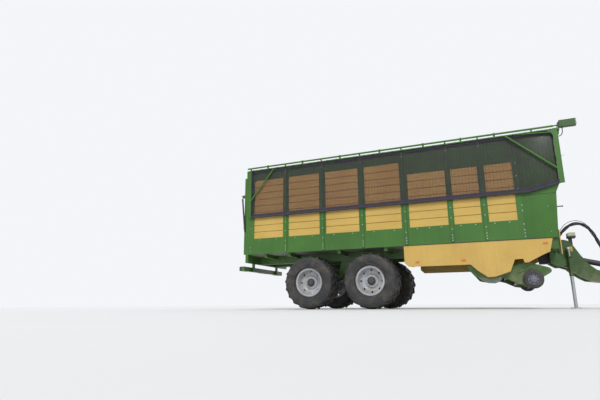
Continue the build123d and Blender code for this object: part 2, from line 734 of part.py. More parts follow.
with BuildPart() as drawbar:
    plate([(front_x + d, z) for d, z in CHEEK], -cheek_out, cheek_out)
    plan = [
        (front_x, -cheek_out), (front_x + 640, -cheek_out), (front_x + 1250, -120), (front_x + 2100, -70),
        (front_x + 2300, -70), (front_x + 2300, 70), (front_x + 2100, 70), (front_x + 1250, 120),
        (front_x + 640, cheek_out), (front_x, cheek_out),
    ]
    with BuildSketch(Plane.XY.offset(300)):
        with BuildLine():
            Polyline(*plan, close=True)
        make_face()
    extrude(amount=1500, mode=Mode.INTERSECT)
    block(front_x, front_x + slot_front, -cheek_in, cheek_in, 300, 1800, mode=Mode.SUBTRACT)
    rod_y(pivot_x, pivot_z, -cheek_out, cheek_out, pivot_pin + fit, mode=Mode.SUBTRACT)
    # Cross tube for the cylinders' eyes, and a tie across the hump
    rod_y(front_x + pivot_ahead, ear_z, -cheek_in, cheek_in, ram_pin)
    block(front_x + 225, front_x + 290, -cheek_in, cheek_in, 1400, 1450)
    # Towing eye
    rod_z(eye_x, 0, eye_z - eye_thick / 2, eye_z + eye_thick / 2, eye_radius)
    block(front_x + 2150, eye_x, -45, 45, eye_z - 25, eye_z + 25)
    rod_z(eye_x, 0, eye_z - eye_thick, eye_z + eye_thick, eye_bore, mode=Mode.SUBTRACT)
    # Jack tube on the right cheek
    jack_x = front_x + jack_ahead
    jack_low, jack_high = 700, 1300
    for z in (855, 1170):
        block(jack_x - 35, jack_x + 35, -cheek_out, jack_y + 20, z, z + 70)
    rod_z(jack_x, jack_y, jack_low, jack_high, jack_radius)
    rod_z(jack_x, jack_y, jack_low - 1, jack_high - 15, leg_radius + fit, mode=Mode.SUBTRACT)
    # Cradle for the drive shaft
    cradle_x = front_x + 1500
    block(cradle_x - 20, cradle_x + 20, -90, 90, 630, 740)
    for sign in (-1, 1):
        block(cradle_x - 20, cradle_x + 20, sign * 72, sign * 90, 740, 850)
    # Post for the parked hoses
    post_x = front_x + 1280
    block(post_x - 15, post_x + 15, 84, 114, 640, 1130)
    block(post_x, post_x + 12, 0, 180, 1120, 1270)
    # Plate behind the hump where the hoses start
    block(front_x + 112, front_x + 150, -cheek_out, cheek_out, 1505, 1525)
    block(front_x + 112, front_x + 124, -170, 170, 1525, 1690)
    strut(HOSE[0] - hose_out * 45, HOSE[0], hose_radius + 5)
    strut(HOSE[-1], HOSE[-1] + hose_in * 50, hose_radius + 4)
keep(drawbar, "drawbar")

# Box on its bracket at the hump
with BuildPart() as hose_box:
    block(front_x + 320, front_x + 480, -110, 110, 1590, 1710)
    fillet(hose_box.edges().filter_by(Axis.Y), radius=18)
    block(front_x + 345, front_x + 405, -60, 60, 1405, 1590)
    block(front_x + 290, front_x + 405, -60, 60, 1405, 1435)
keep(hose_box, "hose_box")

with BuildPart() as hose_bundle:
    hose(HOSE, hose_radius)
keep(hose_bundle, "hose_bundle")

# Jack leg with its foot on the ground
with BuildPart() as jack_leg:
    rod_z(jack_x, jack_y, foot_thick, leg_top, leg_radius)
    rod_z(jack_x, jack_y, 0, foot_thick, foot_radius)
keep(jack_leg, "jack_leg")

# Drawbar cylinders: barrels from the chassis lugs, rods to the cross tube at the hump
ram_rear = Vector(back(ram_back), 0, ram_z)
ram_front = Vector(pivot_x, 0, ear_z)
ram_line = ram_front - ram_rear
ram_axis = ram_line.normalized()
barrel_end = 470
with BuildPart() as drawbar_barrels:
    for sign in (-1, 1):
        shift = Vector(0, sign * ram_y, 0)
        strut(ram_rear + ram_axis * 45 + shift, ram_rear + ram_axis * barrel_end + shift, ram_radius)
        strut(ram_rear + ram_axis * 12 + shift, ram_rear + ram_axis * 46 + shift, 14)
        rod_y(ram_rear.X, ram_rear.Z, sign * (ram_y - 15), sign * (ram_y + 15), ram_eye - 4)
        rod_y(ram_rear.X, ram_rear.Z, sign * ram_lug_in, sign * (ram_lug_out + ram_lug), ram_pin)
        strut(ram_rear + ram_axis * 80 + shift, ram_rear + ram_axis * (barrel_end + 1) + shift,
              ram_rod + fit, mode=Mode.SUBTRACT)
keep(drawbar_barrels, "drawbar_barrels")

with BuildPart() as drawbar_rods:
    for sign in (-1, 1):
        shift = Vector(0, sign * ram_y, 0)
        strut(ram_rear + ram_axis * 150 + shift, ram_front - ram_axis * (ear_bore + 2) + shift, ram_rod)
        rod_y(ram_front.X, ram_front.Z, sign * (ram_y - 15), sign * (ram_y + 15), ear_bore + 14)
        rod_y(ram_front.X, ram_front.Z, sign * (ram_y - 16), sign * (ram_y + 16), ear_bore, mode=Mode.SUBTRACT)
keep(drawbar_rods, "drawbar_rods")

# Drive shaft in its guard, from the gearbox's cross to the free yoke
slope = radians(-shaft_slope)
shaft_dir = Vector(cos(slope), 0, sin(slope))
shaft_at = Vector(joint_x, 0, joint_z)
with BuildPart() as drive_shaft:
    for sign in (-1, 1):
        with BuildSketch(Plane(origin=(joint_x, sign * 40 + 8, joint_z), x_dir=shaft_dir, z_dir=(0, -1, 0))):
            with Locations((20, 0)):
                Rectangle(90, 44)
        extrude(amount=16)
    strut(shaft_at + shaft_dir * 62, shaft_at + shaft_dir * 95, 48)
    strut(shaft_at + shaft_dir * 95, shaft_at + shaft_dir * 150, 26)
    strut(shaft_at + shaft_dir * 110, shaft_at + shaft_dir * 900, guard_radius)
    strut(shaft_at + shaft_dir * 900, shaft_at + shaft_dir * 1640, guard_radius - 10)
    strut(shaft_at + shaft_dir * 1640, shaft_at + shaft_dir * shaft_length, 32)
    rod_y(joint_x, joint_z, -60, 60, 12 + fit, mode=Mode.SUBTRACT)
    strut(shaft_at + shaft_dir * (shaft_length - 90), shaft_at + shaft_dir * (shaft_length + 5), yoke_bore,
          mode=Mode.SUBTRACT)
keep(drive_shaft, "drive_shaft")

# Pickup: side plates, sheet towards the rotor, and strippers between the tine rows
pickup_x = back(pickup_pivot_back)
reel_x = back(reel_back)
tine_pitch = 125
tine_rows = 15
ARM = (
    (1545, 800), (1500, 845), (1150, 820), (850, 950), (600, 980), (230, 860), (190, 800), (230, 740),
    (400, 640), (640, 500), (860, 530), (1080, 640), (1500, 755),
)
SHEET = ((830, 820), (1110, 700), (1110, 690), (830, 808))
with BuildPart() as stripper:
    with BuildSketch(side_plane(22)):
        with Locations((reel_x, reel_z)):
            Circle(reel_drum + 48)
            Circle(reel_drum + 40, mode=Mode.SUBTRACT)
        with BuildLine():
            Polyline((reel_x, reel_z), (reel_x - 60, reel_z + 500), (reel_x - 500, reel_z + 500),
                     (reel_x - 500, reel_z - 500), (reel_x - 230, reel_z - 500), close=True)
        make_face(mode=Mode.SUBTRACT)
        with BuildLine():
            Polyline((reel_x - 15, reel_z + 197), (back(834), 819), (back(834), 811),
                     (reel_x - 22, reel_z + 190), close=True)
        make_face()
        with BuildLine():
            Polyline((reel_x - 72, reel_z - 178), (back(858), 596), (back(858), 586),
                     (reel_x - 78, reel_z - 181), close=True)
        make_face()
    extrude(amount=44)
with BuildPart() as pickup_arms:
    for sign in (-1, 1):
        plate([(back(d), z) for d, z in ARM], sign * arm_in, sign * arm_out)
        rod_y(pickup_x, pickup_pivot_z, sign * arm_in, sign * arm_out, 24 + fit, mode=Mode.SUBTRACT)
        rod_y(back(gauge_back), gauge_z, sign * arm_out, sign * (gauge_y + gauge_width / 2 + 20), 15)
        rod_y(reel_x, reel_z, sign * arm_in, sign * arm_out, 30 + fit, mode=Mode.SUBTRACT)
        rod_y(back(roller_back), roller_z, sign * arm_in, sign * arm_out, 20 + fit, mode=Mode.SUBTRACT)
keep(pickup_arms, "pickup_arms")

with BuildPart() as pickup_frame:
    rod_y(back(860), 590, -arm_in, arm_in, 30)
    rod_y(back(790), 945, -arm_in, arm_in, 22)
    plate([(back(d), z) for d, z in SHEET], -arm_in, arm_in)
    with Locations([(0, (i - (tine_rows - 1) / 2) * tine_pitch, 0) for i in range(tine_rows)]):
        add(stripper.part)
keep(pickup_frame, "pickup_frame")

# Reel: a tube with discs and combs of spring tines between the strippers
comb_count = 6
tine_width = 9
with BuildPart() as comb:
    with BuildSketch(Plane(origin=(reel_x - tine_width / 2, 0, reel_z), x_dir=(0, 1, 0), z_dir=(1, 0, 0))):
        with Locations((0, reel_drum - 18)):
            Rectangle(2 * reel_half, 26)
        teeth = [(i - tine_rows / 2) * tine_pitch for i in range(tine_rows + 1)]
        for y in teeth:
            with Locations((y, (reel_drum + reel_radius) / 2 - 10)):
                Rectangle(tine_width, reel_radius - reel_drum + 20)
    extrude(amount=tine_width)
with BuildPart() as reel:
    rod_y(reel_x, reel_z, -reel_half, reel_half, 60)
    rod_y(reel_x, reel_z, -arm_out - 10, arm_out + 10, 30)
    for i in range(5):
        y = (i - 2) * (reel_half - 5) / 2
        rod_y(reel_x, reel_z, y - 5, y + 5, reel_drum)
    for i in range(comb_count):
        turned = Location((reel_x, 0, reel_z)) * Location((0, 0, 0), (0, i * 360 / comb_count, 0))
        add(turned * Location((-reel_x, 0, -reel_z)) * comb.part)
keep(reel, "reel")

with BuildPart() as crop_roller:
    rod_y(back(roller_back), roller_z, -arm_in + 8, arm_in - 8, roller_radius)
    rod_y(back(roller_back), roller_z, -arm_out - 10, arm_out + 10, 20)
keep(crop_roller, "crop_roller")

for side, sign in (("right", -1), ("left", 1)):
    with BuildPart() as gauge_wheel:
        gx = back(gauge_back)
        with BuildSketch(Plane(origin=(gx, sign * gauge_y, gauge_z), x_dir=(0, 1, 0), z_dir=(1, 0, 0))):
            with BuildLine():
                Polyline((-45, 15 + fit), (-45, 60), (-12, 70), (-12, 108), (-42, 118), (-45, 150), (-38, 185),
                         (-20, 200), (20, 200), (38, 185), (45, 150), (42, 118), (12, 108), (12, 70), (45, 60),
                         (45, 15 + fit), close=True)
            make_face()
        revolve(axis=Axis((gx, 0, gauge_z), (0, 1, 0)))
    keep(gauge_wheel, "gauge_wheel_" + side)

# Tailgate: ribbed panel hung from three arms at its top
gate_front = rear_x - gate_gap
gate_rear = gate_front - gate_thick
gate_hinge_x = rear_x - 60
with BuildPart() as tailgate:
    block(gate_rear + 40, gate_front - 20, -gate_half, gate_half, gate_bottom, gate_top)
    for z in (gate_bottom, 2150, 2900, gate_top - 90):
        block(gate_rear, gate_front, -gate_half, gate_half, z, z + 90)
    for y in (-gate_half, -430, 350, gate_half - 80):
        block(gate_rear, gate_front, y, y + 80, gate_bottom, gate_top)
    for y in (-900, -40, 820):
        block(gate_hinge_x - 22, gate_hinge_x + 22, y + 25, y + 55, gate_top, gate_hinge_z)
        rod_y(gate_hinge_x, gate_hinge_z, y + 25, y + 55, 32)
        rod_y(gate_hinge_x, gate_hinge_z, y + 25, y + 55, 16 + fit, mode=Mode.SUBTRACT)
    for sign in (-1, 1):
        block(rear_x - lift_high_behind - 30, gate_rear, sign * (gate_half - 60), sign * gate_half,
              lift_high_z - 40, lift_high_z + 40)
        rod_y(rear_x - lift_high_behind, lift_high_z, sign * (gate_half - 60), sign * (lift_y - 18), 14)
keep(tailgate, "tailgate")

# Tailgate cylinders on the rear posts
lift_low = Vector(rear_x - lift_low_behind, 0, lift_low_z)
lift_high = Vector(rear_x - lift_high_behind, 0, lift_high_z)
lift_line = lift_high - lift_low
lift_axis = lift_line.normalized()
with BuildPart() as tailgate_barrels:
    for sign in (-1, 1):
        shift = Vector(0, sign * lift_y, 0)
        strut(lift_low + lift_axis * 30 + shift, lift_low + lift_axis * 930 + shift, 23)
        strut(lift_low + lift_axis * 18 + shift, lift_low + lift_axis * 31 + shift, 10)
        rod_y(lift_low.X, lift_low.Z, sign * (lift_y - 12), sign * (lift_y + 12), 24)
        rod_y(lift_low.X, lift_low.Z, sign * (lift_y - 13), sign * (lift_y + 13), lift_pin + fit,
              mode=Mode.SUBTRACT)
        strut(lift_low + lift_axis * 60 + shift, lift_low + lift_axis * 931 + shift,
              lift_rod + fit, mode=Mode.SUBTRACT)
keep(tailgate_barrels, "tailgate_barrels")
with BuildPart() as tailgate_rods:
    for sign in (-1, 1):
        shift = Vector(0, sign * lift_y, 0)
        strut(lift_low + lift_axis * 90 + shift, lift_high - lift_axis * 20 + shift, lift_rod)
        rod_y(lift_high.X, lift_high.Z, sign * (lift_y - 12), sign * (lift_y + 12), 26)
        rod_y(lift_high.X, lift_high.Z, sign * (lift_y - 13), sign * (lift_y + 13), lift_pin + 1,
              mode=Mode.SUBTRACT)
keep(tailgate_rods, "tailgate_rods")

# Cover wings, swung open and hanging outside the walls
wing_back_x = back(wing_rear_back)
wing_front_x = front_x + wing_front
edge_z = hinge_z - wing_depth
lacing_z = hinge_z - lacing_drop
bar_rear = wing_front_x - wing_bar
corner_low = lacing_z - corner_bend
corner_back = bar_rear + 5 - corner_bend
for side, sign in (("right", -1), ("left", 1)):
    y = sign * hinge_y
    with BuildPart() as wing_frame:
        rod_x(y, lacing_z, wing_back_x, wing_front_x - 60, wing_tube)
        rod_x(y, edge_z, wing_back_x, front_x - corner_run, edge_tube)
        strut((front_x - corner_run, y, edge_z), (wing_front_x - 60, y, edge_z + corner_rise), edge_tube)
        # Front bar with its rounded top corner, and the rear bar
        block(wing_front_x - wing_bar, wing_front_x, y - 12, y + 12, edge_z + 130, lacing_z + 20)
        block(wing_back_x, wing_back_x + 60, y - 12, y + 12, edge_z, lacing_z)
        with BuildSketch(side_plane(y + 10)):
            with BuildLine():
                Polyline((bar_rear + 5, corner_low), (bar_rear + 5, lacing_z), (corner_back, lacing_z))
                RadiusArc((corner_back, lacing_z), (bar_rear + 5, corner_low), corner_bend)
            make_face()
        extrude(amount=20)
        strut((back(800), y, lacing_z), (bar_rear + 10, y, 2950), brace_radius)
        strut((back(6700), y, lacing_z), (wing_back_x + 30, y, 2950), brace_radius)
        strut((back(700), y, lacing_z), (bar_rear - 20, y, lacing_z - 60), wing_tube - 3)
        for i in range(len(BAYS)):
            x = back((BAYS[i][0] + BAYS[i][1]) / 2)
            rod_x(y, hinge_z, x - 20, x + 20, hinge_radius + fit + loop_wall)
            block(x - 20, x + 20, y - 8, y + 8, lacing_z, hinge_z)
            rod_x(y, hinge_z, x - 21, x + 21, hinge_radius + fit, mode=Mode.SUBTRACT)
    keep(wing_frame, "wing_frame_" + side)
    with BuildPart() as wing_mesh:
        mesh_out = hinge_y - edge_tube - 0.5
        outline = [
            (wing_back_x, lacing_z), (wing_front_x - 20, lacing_z), (wing_front_x - 20, edge_z + corner_rise),
            (front_x - corner_run, edge_z), (wing_back_x, edge_z),
        ]
        plate(outline, sign * (mesh_out - mesh_thick), sign * mesh_out)
    keep(wing_mesh, "wing_mesh_" + side)

# Lamps on the rear beam and position lamps at the front, and side reflectors
with BuildPart() as tail_lamps:
    for sign in (-1, 1):
        block(rear_x - rear_depth, rear_x - 140, sign * 850, sign * 1180, lamp_beam_z + 5, lamp_beam_z + 115)
keep(tail_lamps, "tail_lamps")
with BuildPart() as reflectors:
    for sign in (-1, 1):
        for d, z in ((260, 1360), (1930, 1070), (2950, 1070)):
            block(back(d) - 45, back(d) + 45, sign * (wall_y - 8), sign * (wall_y + 2), z - 20, z + 20)
keep(reflectors, "reflectors")

for side, sign in (("right", -1), ("left", 1)):
    with BuildPart() as cover_loop:
        hose(cover_hose(sign), cover_hose_radius)
    keep(cover_loop, "cover_hose_" + side)
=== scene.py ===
import bpy
import bmesh
from math import cos, pi, radians, sin
from mathutils import Matrix, Vector


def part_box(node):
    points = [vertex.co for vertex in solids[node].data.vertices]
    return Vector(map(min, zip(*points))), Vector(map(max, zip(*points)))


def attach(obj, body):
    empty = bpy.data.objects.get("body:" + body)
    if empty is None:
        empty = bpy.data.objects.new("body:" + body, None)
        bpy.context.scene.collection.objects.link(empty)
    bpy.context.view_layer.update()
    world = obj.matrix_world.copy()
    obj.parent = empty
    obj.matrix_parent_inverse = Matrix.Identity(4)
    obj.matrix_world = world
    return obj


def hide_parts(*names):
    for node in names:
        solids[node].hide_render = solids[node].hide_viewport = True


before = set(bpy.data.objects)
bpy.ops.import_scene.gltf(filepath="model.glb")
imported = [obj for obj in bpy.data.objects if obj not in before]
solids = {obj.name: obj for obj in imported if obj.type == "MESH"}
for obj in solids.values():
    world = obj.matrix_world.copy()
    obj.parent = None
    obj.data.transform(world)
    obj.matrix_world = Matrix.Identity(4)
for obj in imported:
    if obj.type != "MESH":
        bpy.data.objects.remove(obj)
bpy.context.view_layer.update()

# Sizes of the wagon in metres, as in the solid model
FRONT = 2.725  # x of the body's front plane
REAR = -4.875  # x of the rear post plane
WALL = 1.25  # outer face of a side wall
HINGE_Y = 1.312  # middle line of the covers' hinge tubes
HINGE_Z = 3.926
RIGHT_LEFT = (("right", -1), ("left", 1))
AHEAD, REARWARD, LEFTWARD, RIGHTWARD, UP = (1, 0, 0), (-1, 0, 0), (0, 1, 0), (0, -1, 0), (0, 0, 1)


def back(distance):
    """x of a place behind the front plane"""
    return FRONT - distance


def mm(*sizes):
    """Rows of a profile given in millimetres: a distance along the axis and a radius in each"""
    return [(sizes[i] / 1000, sizes[i + 1] / 1000) for i in range(0, len(sizes), 2)]


def put(name, data):
    """A new object in the scene"""
    thing = bpy.data.objects.new(name, data)
    bpy.context.scene.collection.objects.link(thing)
    return thing


# ---- camera
def aim_camera():
    """Stand the camera where the photograph was taken from"""
    yaw, pitch, roll = radians(23.45), radians(13.35), radians(-0.34)
    data = bpy.data.cameras.new("camera")
    data.sensor_width = 36
    data.lens = 26.65
    data.clip_end = 400
    camera = put("camera", data)
    forward = Vector((-sin(yaw) * cos(pitch), cos(yaw) * cos(pitch), sin(pitch)))
    level = Vector((cos(yaw), sin(yaw), 0))
    lift = level.cross(forward)
    right = level * cos(roll) + lift * sin(roll)
    up = lift * cos(roll) - level * sin(roll)
    turn = Matrix((right, up, -forward)).transposed().to_4x4()
    turn.translation = Vector((1.426, -11.958, 0.1))
    camera.matrix_world = turn
    bpy.context.scene.camera = camera


aim_camera()


# ---- hoses
def round_line(name, kind, routes, radius, resolution):
    """A curve object of round section, with one spline along each route"""
    data = bpy.data.curves.new(name, "CURVE")
    data.dimensions = "3D"
    data.bevel_depth = 1
    data.bevel_resolution = resolution
    data.use_fill_caps = True
    for route in routes:
        spline = data.splines.new(kind)
        spline.points.add(len(route) - 1)
        for knot, place in zip(spline.points, route):
            knot.co, knot.radius = (*place, 1), radius
    return put(name, data)


def draw_hose(name, points, radius):
    """A hose as one smooth spline whose control points are the route's points"""
    hose = round_line(name, "NURBS", [points], radius, 4)
    hose.data.resolution_u = 10
    hose.data.splines[0].order_u = 3
    hose.data.splines[0].use_endpoint_u = True
    return hose


def ahead(rows, sign=1):
    """Points given by their distance ahead of the front plane"""
    return [(FRONT + distance, sign * y, z) for distance, y, z in rows]


BUNDLE = ahead((
    (0.152, -0.04, 1.65), (0.3, -0.042, 1.835), (0.52, -0.03, 1.94), (0.73, 0, 1.868),
    (0.85, 0.03, 1.69), (0.93, 0.062, 1.49), (1, 0.084, 1.29), (1.115, 0.096, 1.215),
    (1.24, 0.1, 1.203),
))
bundle = draw_hose("hose_bundle_sleeve", BUNDLE, 0.022)
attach(bundle, "drawbar")
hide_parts("hose_bundle")


def line_of(hose):
    """Points along a hose's own smooth line"""
    bare = hose.copy()
    bare.data = hose.data.copy()
    bare.data.bevel_depth = 0
    mesh = bpy.data.meshes.new_from_object(bare)
    points = [point.co.copy() for point in mesh.vertices]
    bpy.data.meshes.remove(mesh)
    bpy.data.objects.remove(bare, do_unlink=True)
    return points


def wind(name, hose, radius, pitch, wire, strands=1, steps=9):
    """Strands wound side by side round a hose, with so many steps to each turn"""
    points, routes = line_of(hose), []
    for k in range(strands):
        turn, side = 2 * pi * k / strands, Vector((0, 1, 0))
        wound = []
        for a, b in zip(points, points[1:]):
            run = b - a
            count = max(1, round(run.length / pitch * steps))
            side = (side - run.normalized() * side.dot(run.normalized())).normalized()
            over = run.normalized().cross(side)
            for i in range(count):
                wound.append(a + run * (i / count) + (side * cos(turn) + over * sin(turn)) * radius)
                turn += 2 * pi * run.length / count / pitch
        routes.append(wound)
    return round_line(name, "POLY", routes, wire, 1)


guard = wind("hose_guard", bundle, 0.0222, 0.03, 0.0026)
strands = wind("hose_strands", bundle, 0.0305, 0.85, 0.0075, 4)
for lay in (guard, strands):
    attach(lay, "drawbar")

CABLE = ahead((
    (0.124, -0.11, 1.64), (0.175, -0.11, 1.745), (0.235, -0.105, 1.85), (0.33, -0.085, 1.935),
    (0.46, -0.06, 1.988), (0.59, -0.035, 1.985), (0.7, -0.01, 1.93), (0.78, 0.005, 1.83),
    (0.838, 0.022, 1.715),
))
cable = draw_hose("lamp_cable", CABLE, 0.006)
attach(cable, "drawbar")

COVER_LOOP = ((0.35, 1.312, 3.85), (0.35, 1.312, 3.766), (0.322, 1.286, 3.694), (0.262, 1.246, 3.69),
              (0.206, 1.206, 3.73))
loops = []
for side, sign in RIGHT_LEFT:
    route = ahead(COVER_LOOP, sign)
    loop = draw_hose("cover_loop_" + side, route, 0.009)
    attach(loop, "chassis")
    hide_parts("cover_hose_" + side)
    loops.append(loop)


# ---- shader helpers
def adds(operation, swapped=False):
    """A method that adds a Math node to the finish"""
    def method(self, *others):
        terms = (*others, self) if swapped else (self, *others)
        return self.finish.node("Math", {"operation": operation}, dict(enumerate(terms)))
    return method


class Value:
    """A number or colour on its way between the nodes of a finish"""

    def __init__(self, finish, socket):
        self.finish = finish
        self.socket = socket

    __add__, __radd__ = adds("ADD"), adds("ADD", swapped=True)
    __sub__, __rsub__ = adds("SUBTRACT"), adds("SUBTRACT", swapped=True)
    __mul__, __rmul__ = adds("MULTIPLY"), adds("MULTIPLY", swapped=True)
    __truediv__, __gt__, __abs__ = adds("DIVIDE"), adds("GREATER_THAN"), adds("ABSOLUTE")
    folded = adds("PINGPONG")

    def wave(self, length):
        """0 to 1 and back over each length"""
        return self.folded(length / 2) / (length / 2)

    def held(self):
        """Kept between 0 and 1"""
        return self.finish.node("Clamp", {}, {0: self})

    def between(self, low, high):
        """0 below low, 1 above high, smooth between"""
        return self.finish.node("MapRange", {"interpolation_type": "SMOOTHSTEP"}, {0: self, 1: low, 2: high})


SOCKETS = {"colour": "Base Color", "rough": "Roughness", "metal": "Metallic", "coat": "Coat Weight",
           "coat_rough": "Coat Roughness", "alpha": "Alpha", "sheen": "Sheen Weight", "speck": "Specular IOR Level"}


class Finish:
    """One material, made of nodes"""

    def __init__(self, name):
        self.material = bpy.data.materials.new(name)
        self.material.use_nodes = True
        self.tree = self.material.node_tree
        self.tree.nodes.clear()
        self.output = self.tree.nodes.new("ShaderNodeOutputMaterial")
        self.shader = self.tree.nodes.new("ShaderNodeBsdfPrincipled")
        self.tree.links.new(self.shader.outputs[0], self.output.inputs["Surface"])
        self.place = self.node("TexCoord", {}, {}, "Object")
        spread = self.node("SeparateXYZ", {}, {0: self.place}, None)
        self.x, self.y, self.z = (Value(self, spread.outputs[i]) for i in range(3))

    def feed(self, socket, value):
        """Link or set one socket"""
        if isinstance(value, Value):
            self.tree.links.new(value.socket, socket)
        else:
            socket.default_value = (*value, 1) if socket.type == "RGBA" else value

    def node(self, kind, settings, inputs, output=0):
        """Add a node; the result is one of its outputs, or the node itself"""
        made = self.tree.nodes.new("ShaderNode" + kind)
        for key, value in settings.items():
            setattr(made, key, value)
        for key, value in inputs.items():
            self.feed(made.inputs[key], value)
        return made if output is None else Value(self, made.outputs[output])

    def stretch(self, x, y, z):
        """The place on the piece, scaled along each axis"""
        return self.node("Mapping", {}, {"Vector": self.place, "Scale": (x, y, z)})

    def noise(self, scale, detail=3, rough=0.55, where=None):
        return self.node("TexNoise", {}, {"Vector": where or self.place, "Scale": scale, "Detail": detail,
                                          "Roughness": rough})

    def cells(self, scale):
        return self.node("TexVoronoi", {"feature": "F1"}, {"Vector": self.place, "Scale": scale}, "Distance")

    def mix(self, factor, a, b):
        return self.node("Mix", {"data_type": "RGBA"}, {0: factor, 6: a, 7: b}, 2)

    def facing_up(self):
        normal = self.node("NewGeometry", {}, {}, "Normal")
        return Value(self, self.node("SeparateXYZ", {}, {0: normal}, None).outputs[2])

    def use(self, colour, rough, bumps=None, **others):
        """Feed the shader and give the finished material; bumps are a height, a strength and a distance"""
        if bumps:
            normal = self.node("Bump", {}, dict(zip(("Height", "Strength", "Distance"), bumps)))
            self.feed(self.shader.inputs["Normal"], normal)
        for key, value in {"colour": colour, "rough": rough, **others}.items():
            self.feed(self.shader.inputs[SOCKETS[key]], value)
        return self.material


DUST = (0.3, 0.25, 0.17)


def shade(colour, factor):
    return tuple(part * factor for part in colour)


def paint(name, colour, deep, gloss=0.34, dust=0.35, chips=0.72, under=(0.2, 0.17, 0.14)):
    """Sprayed enamel with faded patches, chips, streaks and dust low down"""
    f = Finish(name)
    broad = f.noise(1.3, 4)
    fine = f.noise(38, 3)
    streak = f.noise(1, 4, 0.6, f.stretch(22, 22, 1.1))
    tone = f.mix((broad * 0.7 + streak * 0.3).between(0.32, 0.7), deep, colour)
    low = 1 - f.z.between(0.35, 1.9)
    soil = (f.noise(5, 5, 0.62) + low * 0.3 + f.facing_up().held() * 0.16).between(0.62, 1.02) * dust
    tone = f.mix(soil, tone, DUST)
    chip = (f.noise(24, 5, 0.7) * 0.85 + f.noise(140, 2) * 0.15).between(chips, chips + 0.03)
    tone = f.mix(chip, tone, under)
    height = f.noise(420, 2) * 0.2 + fine * 0.5 - chip * 0.6 + soil * f.noise(260, 2)
    return f.use(tone, (gloss + fine * 0.1 + streak * 0.08 + soil * 0.45 + chip * 0.3).held(), (height, 0.22, 0.0012),
                 coat=(0.25 - soil * 0.25).held(), coat_rough=0.25)


def bare_metal(name, colour, rough, grain, rust, metal=0.9):
    """Worn steel with directional scratches and brown staining"""
    f = Finish(name)
    patch = f.noise(7, 5, 0.65)
    scratch = f.noise(1, 3, 0.6, f.stretch(grain, grain * 0.35, grain * 1.4))
    stain = patch.between(0.5, 0.74) * rust
    tone = f.mix(stain, f.mix(scratch, shade(colour, 0.72), colour), (0.17, 0.08, 0.035))
    return f.use(tone, (rough + scratch * 0.16 + stain * 0.4).held(), (scratch * 0.6 + patch * 0.4, 0.25, 0.0012),
                 metal=(metal - stain * 0.6).held())


def rubber(name, colour=(0.022, 0.023, 0.025), dust=0.5):
    """Black rubber with fine pores and patches of dry soil"""
    f = Finish(name)
    broad = f.noise(4.5, 5, 0.6)
    pores = f.noise(190, 3)
    soil = (broad + f.noise(30, 3) * 0.4).between(0.58, 0.98) * dust
    tone = f.mix(soil, f.mix(pores, shade(colour, 0.6), shade(colour, 1.9)), (0.16, 0.135, 0.1))
    return f.use(tone, (0.62 + pores * 0.16 + soil * 0.2).held(), (pores * 0.7 + broad * 0.3, 0.35, 0.0016))


def moulded(name, colour, rough, dust=0.25):
    """Moulded plastic with a fine texture and a little dust"""
    f = Finish(name)
    skin = f.noise(330, 2)
    soil = f.noise(9, 5, 0.62).between(0.5, 0.85) * dust
    tone = f.mix(soil, f.mix(f.noise(3, 3), shade(colour, 0.82), colour), DUST)
    return f.use(tone, (rough + skin * 0.14 + soil * 0.3).held(), (skin + soil * 0.4, 0.2, 0.0008))


def lens(name, colour, glow):
    """Coloured lens, ribbed inside"""
    f = Finish(name)
    ribs = f.y.wave(0.014) * 0.6 + f.z.wave(0.014) * 0.4
    cell = f.cells(70)
    tone = f.mix((ribs * 0.6 + cell * 0.6).held(), shade(colour, 0.55), glow)
    return f.use(tone, 0.1 + f.noise(60) * 0.12, (ribs, 0.5, 0.002), coat=0.6, coat_rough=0.05)


def chrome(name):
    """Ground and plated rod with fine rings and oil film"""
    f = Finish(name)
    rings = f.noise(1, 2, 0.5, f.stretch(260, 30, 30))
    film = f.noise(14, 4)
    tone = f.mix(film.between(0.45, 0.75), (0.72, 0.73, 0.75), (0.46, 0.44, 0.4))
    return f.use(tone, 0.1 + rings * 0.08 + film * 0.1, (rings, 0.08, 0.0005), metal=1)


def boarding(name, colour, deep):
    """Enamelled boards with grain showing through, and painted shade in the grooves between them"""
    f = Finish(name)
    grain = f.noise(1, 5, 0.65, f.stretch(2.6, 40, 46))
    broad = f.noise(1.1, 3)
    tone = f.mix((grain * 0.5 + broad * 0.5).between(0.34, 0.66), deep, colour)
    # Painted shade: the sunk faces of the grooves between the boards are darkened
    shaded_groove = (1 - abs(f.y).between(1.2345, 1.2405)) * abs(f.y).between(1.222, 1.228)
    tone = f.mix(shaded_groove * 0.85, tone, (0.2, 0.1, 0.02))
    soil = f.noise(6, 5, 0.62).between(0.56, 0.9) * 0.22
    tone = f.mix(soil, tone, DUST)
    return f.use(tone, (0.34 + grain * 0.14 + soil * 0.4 + shaded_groove * 0.2).held(),
                 (grain * 0.7 - shaded_groove * 0.5, 0.25, 0.0014), coat=0.15, coat_rough=0.3)


def floor_plate(name):
    """Sheet floor polished by what slides over it, with tread pattern worn low"""
    f = Finish(name)
    slide = f.noise(1, 4, 0.6, f.stretch(1.5, 36, 36))
    patch = f.noise(3.2, 5, 0.62)
    tone = f.mix(slide, (0.2, 0.19, 0.175), (0.42, 0.41, 0.39))
    tone = f.mix(patch.between(0.52, 0.76) * 0.7, tone, (0.16, 0.085, 0.04))
    return f.use(tone, (0.3 + slide * 0.2 + patch * 0.22).held(), (slide, 0.25, 0.001), metal=0.7 - patch * 0.3)


